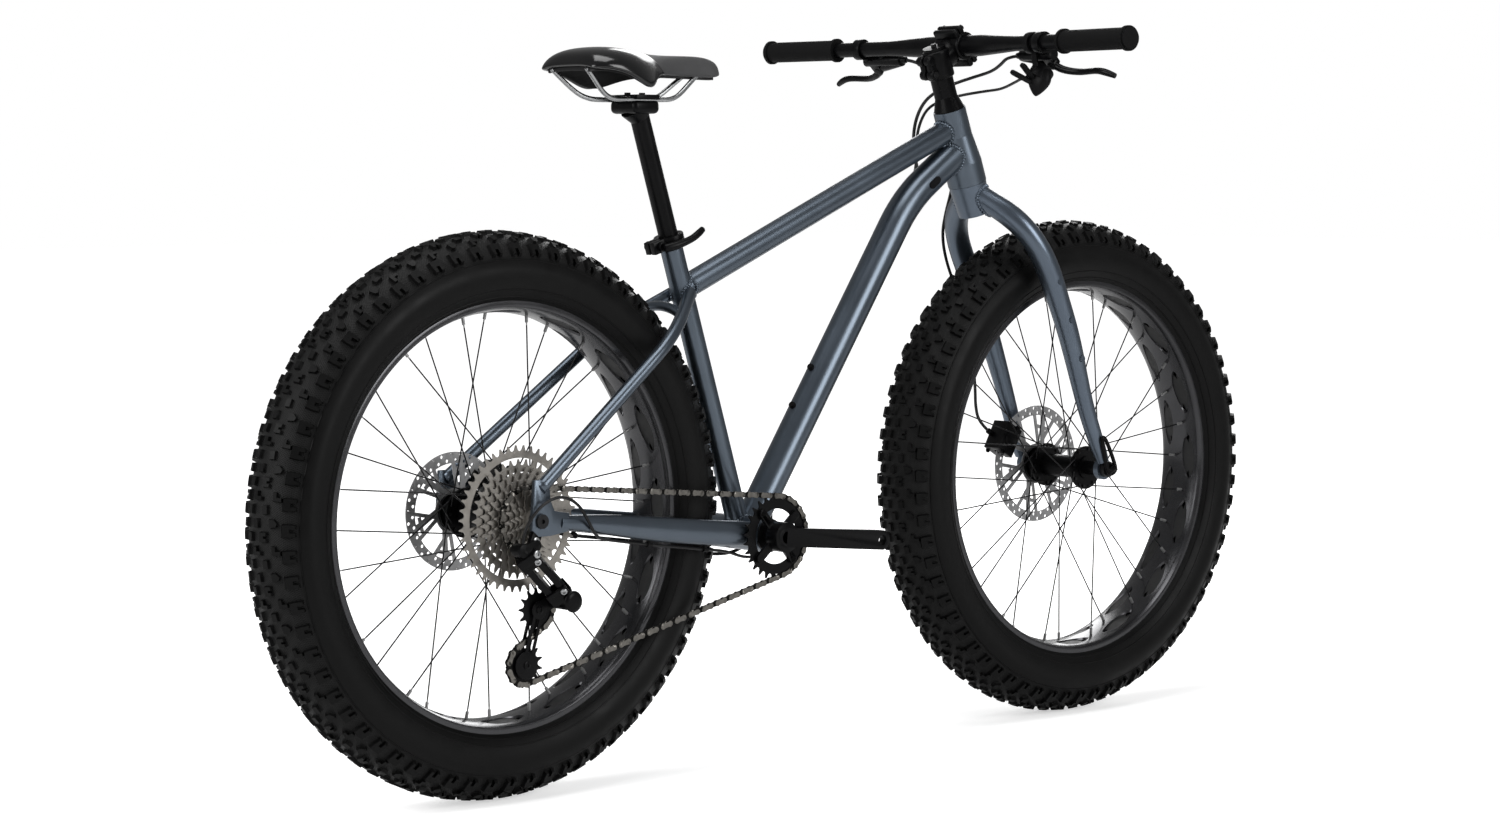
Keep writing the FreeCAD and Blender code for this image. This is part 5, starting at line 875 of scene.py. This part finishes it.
def turned(bm, place, heading, profile):
    """A profile of radius and height turned about heading, standing on place."""
    heading = Vector(heading).normalized()
    side = heading.orthogonal().normalized()
    base = Vector(place)
    verts = [bm.verts.new((base + side * r + heading * h) * MM) for r, h in profile]
    edges = [bm.edges.new(pair) for pair in zip(verts, verts[1:])]
    spin_round(bm, verts + edges, base * MM, heading, TURNED_STEPS)


def bolt(bm, place, heading, radius, height):
    turned(bm, place, heading, [(r * radius, h * height) for r, h in BOLT_SECTION])


def wire(bm, route, radius, swell=None, side=1, closed=False):
    points = [mirrored(p, side) * MM for p in route]
    bm.from_mesh(spline_mesh(points, "NURBS", closed, radius * MM, swell))


# Straight tubes: the top tube is drawn round and mitred to the head tube and the seat tube
MITRE_SINK = 0.4
TUBE_SIDES = 96
STAY_RUN = Vector((0.6, 0, 0.8))


def make_top_tube():
    bm = bmesh.new()
    heading = (TOP_FRONT - TOP_REAR).normalized()
    place = Matrix.Translation((TOP_FRONT + TOP_REAR) / 2 * MM) @ heading.to_track_quat("Z", "Y").to_matrix().to_4x4()
    ring = bmesh.ops.create_circle(
        bm, cap_ends=False, segments=TUBE_SIDES, radius=TOP_RADIUS * MM, matrix=place)["verts"]
    rims = list({e for v in ring for e in v.link_edges})
    for way, wall in ((heading, HEAD_WALL), (-heading, SEAT_WALL)):
        for vert in new_corners(bmesh.ops.extrude_edge_only(bm, edges=rims)):
            vert.co += way * (reach(vert.co / MM, way, wall) + MITRE_SINK) * MM
    bmesh.ops.holes_fill(bm, edges=bm.edges, sides=0)
    slice_tube(bm, heading)
    stand_for("top_tube", bm, "top_tube_drawn")


def make_straight_tube(node, heading):
    """A straight tube's node with its corners joined and its length cut into short faces."""
    bm = joined_copy(node, 1e-6)
    slice_tube(bm, heading.normalized())
    stand_for(node, bm, node + "_drawn", 35)


make_top_tube()
make_straight_tube("seat_tube", SEAT_TOP - BB)
make_straight_tube("seatstays", STAY_RUN)

# Stem: round steerer clamp with two pinch bolts, short neck, and a bar clamp closed by the faceplate
STEER_UP = (HEAD_TOP - HEAD_LOW).normalized()
STEER_TILT = -19.5
STEM_TOP = Vector((273.0, 0, 1009.4))
STEM_CLAMP_DROPS = (43.5, 0.5)
STEM_CLAMP_RADIUS = 20.5
STEM_AHEAD = Vector((0.819, 0, 0.574))
STEM_RISE = Vector((-0.574, 0, 0.819))
STEM_TILT = -35.0
NECK_DROP = 20
NECK_BACK = 7
NECK_RADII = (18.5, 20)
BAR_CENTRE = Vector((316.557, 0, 1015.222))
BAR_CLAMP_HALF = LEFT * 24
BAR_CLAMP_RADIUS = 21
CLAMP_GAP = 0.8
EAR_LIFT = 24.5
EAR_AHEAD = 4.5
EAR_SIZE = (8.5, 47, 14)
PINCH_PLACES = (Vector((254.4, 0, 991.6)), Vector((261.4, 0, 971.8)))
PINCH_WEB_PLACE = (8, 6.7, 2.8)
PINCH_WEB_SIZE = (26, 10.5, 37)
PINCH_BOSS_REACH = (1.6, 13.5)
PINCH_BOSS_RADIUS = 7.4


def half_clamp(bm, way):
    """The part of the bar clamp on one side of its split, with two bolt ears."""
    half = bmesh.new()
    bar(half, BAR_CENTRE - BAR_CLAMP_HALF, BAR_CENTRE + BAR_CLAMP_HALF, BAR_CLAMP_RADIUS, edge=3)
    bmesh.ops.bisect_plane(
        half, geom=[*half.verts, *half.edges, *half.faces], plane_co=(BAR_CENTRE + way * CLAMP_GAP) * MM,
        plane_no=-way, clear_outer=True)
    bmesh.ops.holes_fill(half, edges=half.edges, sides=0)
    mesh = bpy.data.meshes.new("half_clamp")
    half.to_mesh(mesh)
    half.free()
    bm.from_mesh(mesh)
    for lift in (-EAR_LIFT, EAR_LIFT):
        place = BAR_CENTRE + STEM_RISE * lift + way * (CLAMP_GAP + EAR_AHEAD)
        block(bm, place, EAR_SIZE, edge=3.4, tilt=STEM_TILT)


def make_stem():
    bm = bmesh.new()
    low, high = [STEM_TOP - STEER_UP * drop for drop in STEM_CLAMP_DROPS]
    bar(bm, low, high, STEM_CLAMP_RADIUS, edge=3.5)
    bar(bm, STEM_TOP - STEER_UP * NECK_DROP, BAR_CENTRE - STEM_AHEAD * NECK_BACK, *NECK_RADII, edge=2)
    half_clamp(bm, -STEM_AHEAD)
    middle = (PINCH_PLACES[0] + PINCH_PLACES[1]) / 2
    for side in (1, -1):
        block(bm, middle + mirrored(PINCH_WEB_PLACE, side), PINCH_WEB_SIZE, edge=4, tilt=STEER_TILT)
        for spot in PINCH_PLACES:
            inner, outer = [spot + LEFT * side * out for out in PINCH_BOSS_REACH]
            bar(bm, inner, outer, PINCH_BOSS_RADIUS, edge=2.4)
    stand_for("stem", bm, "stem_forged")
    bm = bmesh.new()
    half_clamp(bm, STEM_AHEAD)
    stand_for("stem_faceplate", bm, "stem_faceplate_forged")


make_stem()

# Seatpost: drawn tube that flares into a forged two-bolt head
POST_FOOT = Vector((-194.7, 0, 579.9))
POST_TOP = Vector((-299.1, 0, 915))
POST_RADIUS = 13.6
FLARE_START = Vector((-295.5, 0, 903.6))
FLARE_END = Vector((-304.8, 0, 917.3))
FLARE_RADII = (13.8, 21)
POST_HEAD = Vector((-304.8, 0, 919.3))
POST_HEAD_SIZE = (46, 55, 19)


def make_seatpost():
    bm = bmesh.new()
    bar(bm, POST_FOOT, POST_TOP, POST_RADIUS, edge=0.8, segments=64)
    bar(bm, FLARE_START, FLARE_END, *FLARE_RADII, edge=1)
    slice_tube(bm, (POST_TOP - POST_FOOT).normalized())
    block(bm, POST_HEAD, POST_HEAD_SIZE, edge=7)
    stand_for("seatpost", bm, "seatpost_forged")


make_seatpost()

# Saddle rails: two drawn wires that rise to the base at the rear and under the nose
RAIL_ROUTE = (
    (-420, 37, 970), (-409, 35, 960), (-392, 30, 944), (-378, 26, 934), (-362, 23, 929.3), (-345, 22, 929),
    (-305, 22, 929), (-272, 22, 929), (-256, 21.5, 930), (-242, 20, 936), (-222, 17, 951), (-200, 13, 967),
    (-188, 11, 973),
)
RAIL_RADIUS = 3.5


def make_rails():
    bm = bmesh.new()
    for side in (1, -1):
        wire(bm, RAIL_ROUTE, RAIL_RADIUS, side=side)
    stand_for("saddle_rails", bm, "saddle_rail_wires", 50)


make_rails()

# Brake levers: cast blades with a ball end, and their master cylinders, on the left side.
# Parts of a cylinder: start, end, radius, tip radius and broken edge
BLADE_ROUTE = (
    (335, 174, 988), (338, 184, 981), (343, 196, 975.5), (350, 218, 972.5), (348, 240, 973.5),
    (344.5, 258, 974), (347, 274, 970.5), (351, 286, 965.5),
)
BLADE_SWELL = (1.15, 1.1, 1.0, 0.9, 0.86, 0.9, 1.0, 0.72)
BLADE_RADIUS = 5.4
PULL_PIVOT = Vector((336.128, 179.038, 986.45))
PULL_AXIS = Vector((0.667662, 0.064967, 0.741624))
PULL_HALF = 7.5
PULL_RADIUS = 6.6
CYLINDER_PARTS = (
    ((334.5, 171, 990.5), (330.2, 124, 997), 8.6, 7.4, 2.6),
    ((330.2, 125, 997), (329.4, 116, 998), 5.2, 4, 0.8),
    ((332, 158, 998), (318, 158, 1008), 6.5, 6.5, 2),
)


def make_brake_lever(node, side):
    bm = bmesh.new()
    wire(bm, BLADE_ROUTE, BLADE_RADIUS, BLADE_SWELL, side)
    pivot, axis = mirrored(PULL_PIVOT, side), mirrored(PULL_AXIS, side) * PULL_HALF
    bar(bm, pivot - axis, pivot + axis, PULL_RADIUS, edge=1.6)
    stand_for(node, bm, node.replace("lever", "blade"), 50)


def make_master_cylinders():
    bm = bmesh.new()
    for side in (1, -1):
        for start, end, radius, tip, edge in CYLINDER_PARTS:
            bar(bm, mirrored(start, side), mirrored(end, side), radius, tip, edge)
    add_to("brake_lever_bodies", bm, "master_cylinders", BLACK_ALLOY)


make_brake_lever("left_brake_lever", 1)
make_brake_lever("right_brake_lever", -1)
make_master_cylinders()

# Shifter: teardrop pod that hangs under the bar
POD_CENTRE = Vector((318, -169, 961))
POD_HALF = (13, 19, 24)
POD_TAPER = 0.5
POD_CURVE = 1.5
POD_TILT = 20.0


def make_shifter_pod():
    bm = bmesh.new()
    made = bmesh.ops.create_uvsphere(bm, u_segments=32, v_segments=20, radius=1.0)["verts"]
    for vert in made:
        slim = 1 - POD_TAPER * max(0.0, -vert.co.z) ** POD_CURVE
        vert.co = [vert.co[k] * POD_HALF[k] * MM * (slim if k < 2 else 1) for k in range(3)]
    turn = Matrix.Rotation(math.radians(POD_TILT), 4, "Y")
    bmesh.ops.transform(bm, matrix=Matrix.Translation(POD_CENTRE * MM) @ turn, verts=made)
    add_to("shifter_body", bm, "shifter_pod", BLACK_PLASTIC)


make_shifter_pod()

# Quick-release levers: a curved seat clamp handle and an open loop on the front axle, along and across its lever
SEAT_HANDLE_ROUTE = (
    (-272, -23, 727), (-262, -27, 729), (-246, -30, 733.5), (-230, -31, 739), (-216, -29, 746), (-206, -26, 752),
)
SEAT_HANDLE_SWELL = (1.1, 1.2, 1.0, 0.9, 1.0, 0.8)
SEAT_HANDLE_RADIUS = 5.6
AXLE_PIVOT = Vector((556, -99, 378))
AXLE_LEVER_RUN = Vector((-0.3746, 0, 0.9272))
AXLE_LOOP = ((-6, -7.5), (8, -9), (30, -7), (48, -4.5), (56, 0), (48, 4.5), (30, 7), (8, 9), (-6, 7.5))
AXLE_LOOP_RADIUS = 3
AXLE_BOSS_HALF = 8
AXLE_BOSS_RADIUS = 4.6


def make_quick_levers():
    bm = bmesh.new()
    wire(bm, SEAT_HANDLE_ROUTE, SEAT_HANDLE_RADIUS, SEAT_HANDLE_SWELL)
    stand_for("seat_clamp_lever", bm, "seat_clamp_handle", 50)
    across = AXLE_LEVER_RUN.cross(LEFT)
    bm = bmesh.new()
    loop = [AXLE_PIVOT + AXLE_LEVER_RUN * run + across * side for run, side in AXLE_LOOP]
    wire(bm, loop, AXLE_LOOP_RADIUS, closed=True)
    bar(bm, AXLE_PIVOT - across * AXLE_BOSS_HALF, AXLE_PIVOT + across * AXLE_BOSS_HALF, AXLE_BOSS_RADIUS, edge=1)
    stand_for("front_axle_lever", bm, "front_axle_handle_loop", 50)


make_quick_levers()

# Derailleur: slotted cage plates, pulley bolts, pivot bolts and the clutch cap; bolts are radius and height
GUIDE = Vector((-541.13, -75, 258.135))
TENSION = Vector((-563.031, -75, 187.351))
MECH_AXLE = Vector((-516, -75, 271))
SWING_AXIS = Vector((0.429251, 0.788011, 0.441342))
CAGE_FACES = (-6.0, 4.2)
CAGE_WALL = 1.8
TENSION_RADIUS = 18.5
GUIDE_RADIUS = 12
MECH_AXLE_RADIUS = 10.5
CAGE_RAIL_WIDTH = 4.4
CAGE_RAIL_SHIFT = 5.4
CAGE_ARM_WIDTH = 19
CAGE_STEP = 0.1
CAGE_PIN_RADIUS = 5
CAGE_PIN_REACH = (-12, -5)
PULLEY_PIN_RADIUS = 2.5
PULLEY_BOLT = (5, 1.6)
PIVOT_PLACES = (Vector((-568.284, -109.541, 331.745)), Vector((-525.273, -109.541, 289.912)))
PIVOT_HALF = 9.5
PIVOT_BOLT = (4.6, 3)
HANGER_PLACES = ((-566, -105.3, 353), (-577, -121.0, 338))
HANGER_BOLT = (5.2, 2.2)
CLUTCH_PLACE = (-516, -120.6, 271)
CLUTCH_CAP = ((0, 3.4), (8, 3.4), (11.5, 2.8), (14, 0.8), (14.4, 0), (0, 0))


def flat_bar(bm, start, end, width, shift, low, high):
    """A flat bar in the chain's plane, moved sideways by shift, between two depths along the left axis."""
    side = (end - start).normalized().cross(LEFT)
    near, far = side * (shift - width / 2), side * (shift + width / 2)
    corners = (start + near, end + near, end + far, start + far)
    face = bm.faces.new([bm.verts.new((c + LEFT * low) * MM) for c in corners])
    bmesh.ops.translate(bm, verts=raise_face(bm, face), vec=LEFT * (high - low) * MM)


def disc(bm, centre, radius, low, high):
    bar(bm, centre + LEFT * low, centre + LEFT * high, radius, edge=0.5, segments=40)


def make_cage():
    bm = bmesh.new()
    right, left = CAGE_FACES
    for low in CAGE_FACES:
        high = low + CAGE_WALL
        disc(bm, TENSION, TENSION_RADIUS, low, high)
        disc(bm, GUIDE, GUIDE_RADIUS, low, high)
        for shift in (-CAGE_RAIL_SHIFT, CAGE_RAIL_SHIFT):
            flat_bar(bm, GUIDE, TENSION, CAGE_RAIL_WIDTH, shift, low + CAGE_STEP, high - CAGE_STEP)
    disc(bm, MECH_AXLE, MECH_AXLE_RADIUS, right, right + CAGE_WALL)
    flat_bar(bm, MECH_AXLE, GUIDE, CAGE_ARM_WIDTH, 0, right + CAGE_STEP, right + CAGE_WALL - CAGE_STEP)
    disc(bm, MECH_AXLE, CAGE_PIN_RADIUS, *CAGE_PIN_REACH)
    for spot in (GUIDE, TENSION):
        disc(bm, spot, PULLEY_PIN_RADIUS, right, left + CAGE_WALL)
        bolt(bm, spot + LEFT * right, -LEFT, *PULLEY_BOLT)
    stand_for("derailleur_cage", bm, "derailleur_cage_plates")


def make_mech_bolts():
    bm = bmesh.new()
    for spot in PIVOT_PLACES:
        bolt(bm, spot - SWING_AXIS * PIVOT_HALF, -SWING_AXIS, *PIVOT_BOLT)
    add_to("derailleur_outer_link", bm, "derailleur_pivot_bolts", ZINC_STEEL)
    bm = bmesh.new()
    for spot in HANGER_PLACES:
        bolt(bm, spot, -LEFT, *HANGER_BOLT)
    add_to("derailleur_mount", bm, "derailleur_hanger_bolts", ZINC_STEEL)
    bm = bmesh.new()
    turned(bm, CLUTCH_PLACE, -LEFT, CLUTCH_CAP)
    add_to("derailleur_knuckle", bm, "derailleur_clutch_cap", BLACK_ALLOY)


make_cage()
make_mech_bolts()

# Brake discs: splayed braces between the carrier and the braking ring, in millimetres and degrees
ROTOR_PLANES = {"front": 59.7, "rear": 83.2}
BRACE_ARMS = 6
BRACE_PHASE = 15
BRACE_INNER = 27
BRACE_OUTER = 78
BRACE_SPLAY = 17.0
BRACE_WIDTH = 5.5
BRACE_DEPTHS = (-0.8, 0.8)
TIE_RADIUS = 58
TIE_SPLAY = 0.62 * BRACE_SPLAY
TIE_DEPTHS = (-0.7, 0.7)


def make_rotor_braces(end):
    centre = Vector((WHEEL_CENTRES[end].x / MM, ROTOR_PLANES[end], WHEEL_CENTRES[end].z / MM))
    bm = bmesh.new()

    def spot(radius, degrees):
        turn = math.radians(degrees)
        return centre + Vector((radius * math.cos(turn), 0, radius * math.sin(turn)))

    for step in range(BRACE_ARMS):
        base = 360 / BRACE_ARMS * step + BRACE_PHASE
        foot = spot(BRACE_INNER, base)
        for way in (-BRACE_SPLAY, BRACE_SPLAY):
            flat_bar(bm, foot, spot(BRACE_OUTER, base + way), BRACE_WIDTH, 0, *BRACE_DEPTHS)
        ends = [spot(TIE_RADIUS, base + way) for way in (-TIE_SPLAY, TIE_SPLAY)]
        flat_bar(bm, *ends, BRACE_WIDTH, 0, *TIE_DEPTHS)
    add_to(end + "_rotor", bm, end + "_rotor_braces", ROTOR_STEEL)


for end in WHEEL_CENTRES:
    make_rotor_braces(end)

# Calipers: piston caps and body bolts
CALIPER_CENTRES = {"front": Vector((483.4, 59.7, 420)), "rear": Vector((-492, 83.2, 415))}
CALIPER_HALF = 15
CALIPER_CAP = ((0, 2.6), (8, 2.6), (11.5, 1.8), (12.5, 0), (0, 0))
CALIPER_BOLT = (3.8, 2.4)
CALIPER_BOLT_SHIFT = 17


def make_caliper_caps(end):
    bm = bmesh.new()
    for way in (-1, 1):
        face = CALIPER_CENTRES[end] + LEFT * way * CALIPER_HALF
        turned(bm, face, LEFT * way, CALIPER_CAP)
        for shift in (-CALIPER_BOLT_SHIFT, CALIPER_BOLT_SHIFT):
            bolt(bm, face + Vector((shift, 0, shift)), LEFT * way, *CALIPER_BOLT)
    add_to(end + "_caliper", bm, end + "_caliper_caps", BLACK_ALLOY)


for end in WHEEL_CENTRES:
    make_caliper_caps(end)

# Floor, light and camera, in metres; each lamp is its name, place, size and power
FLOOR_HALF = 30.0
FLOOR_DROP = 0.5 * MM
FLOOR_LIFT = 0.55
FADE_START = 1.2
FADE_END = 2.6
ROOM_LIGHT = 0.14
SHINE_SHARE = 0.15
LAMP_TARGET = Vector((0, 0, 0.5))
LAMPS = (
    ("left_softbox", (-4.4, 0.2, 2.3), (2.4, 2.4), 150),
    ("right_softbox", (1.0, -4.4, 2.2), (2.0, 2.6), 110),
    ("overhead_softbox", (-0.4, -0.2, 3.6), (2.6, 1.6), 60),
    ("back_softbox", (3.2, 2.6, 2.0), (1.6, 2.0), 45),
)


def backdrop_share(tree):
    """1 for rays from the camera, also through glass, and SHINE_SHARE for rays from shiny surfaces."""
    ray = add(tree, "ShaderNodeLightPath").outputs
    seen = maths(tree, "MAXIMUM", ray["Is Camera Ray"], ray["Is Transmission Ray"])
    return maths(tree, "MAXIMUM", seen, maths(tree, "MULTIPLY", ray["Is Glossy Ray"], SHINE_SHARE))


def make_floor():
    bm = bmesh.new()
    bmesh.ops.create_grid(bm, x_segments=1, y_segments=1, size=FLOOR_HALF)
    material = bpy.data.materials.new("matte_white_floor")
    tree = clear_tree(material)
    matte = add(tree, "ShaderNodeBsdfDiffuse", {"Color": linear("f2f2f2")}).outputs[0]
    place = add(tree, "ShaderNodeTexCoord").outputs["Object"]
    away = add(tree, "ShaderNodeVectorMath", {"operation": "LENGTH", 0: place}).outputs["Value"]
    fade = ramp(tree, away, FADE_START, FADE_END, FLOOR_LIFT, 1.0)
    lift = add(tree, "ShaderNodeEmission", {"Color": linear("ffffff"), "Strength": fade}).outputs[0]
    both = add(tree, "ShaderNodeAddShader", {0: matte, 1: lift}).outputs[0]
    pick = add(tree, "ShaderNodeMixShader", {0: backdrop_share(tree), 1: matte, 2: both})
    add(tree, "ShaderNodeOutputMaterial", {"Surface": pick.outputs[0]})
    mesh = bpy.data.meshes.new("studio_floor")
    bm.to_mesh(mesh)
    bm.free()
    floor = place_mesh(mesh, "studio_floor", material)
    floor.location.z = -FLOOR_DROP


def make_world():
    world = bpy.data.worlds.new("white_studio")
    bpy.context.scene.world = world
    tree = clear_tree(world)
    room, white = [
        add(tree, "ShaderNodeBackground", {"Color": linear("ffffff"), "Strength": strength}).outputs[0]
        for strength in (ROOM_LIGHT, 1.0)]
    pick = add(tree, "ShaderNodeMixShader", {0: backdrop_share(tree), 1: room, 2: white})
    add(tree, "ShaderNodeOutputWorld", {"Surface": pick.outputs[0]})


def point_from(place, ahead, name, data):
    made = bpy.data.objects.new(name, data)
    made.location = place
    made.rotation_mode = "QUATERNION"
    made.rotation_quaternion = ahead.to_track_quat("-Z", "Y")
    bpy.context.scene.collection.objects.link(made)
    return made


def make_lamp(name, place, size, power):
    lamp = bpy.data.lights.new(name, "AREA")
    lamp.shape = "RECTANGLE"
    lamp.size, lamp.size_y = size
    lamp.energy = power
    point_from(place, LAMP_TARGET - Vector(place), name, lamp)


def make_camera():
    data = bpy.data.cameras.new("photo_camera")
    data.sensor_width = SENSOR_WIDTH
    data.lens = SENSOR_WIDTH * CAMERA_FOCUS_PIXELS / IMAGE_WIDTH
    yaw, pitch = math.radians(CAMERA_YAW), math.radians(CAMERA_PITCH)
    ahead = Vector((math.cos(yaw) * math.cos(pitch), math.sin(yaw) * math.cos(pitch), math.sin(pitch)))
    camera = point_from(CAMERA_PLACE, ahead, "photo_camera", data)
    roll = Matrix.Rotation(math.radians(CAMERA_ROLL), 3, ahead).to_quaternion()
    camera.rotation_quaternion = roll @ camera.rotation_quaternion
    bpy.context.scene.camera = camera


make_floor()
make_world()
for lamp in LAMPS:
    make_lamp(*lamp)
make_camera()
bpy.context.scene.view_settings.view_transform = "Standard"
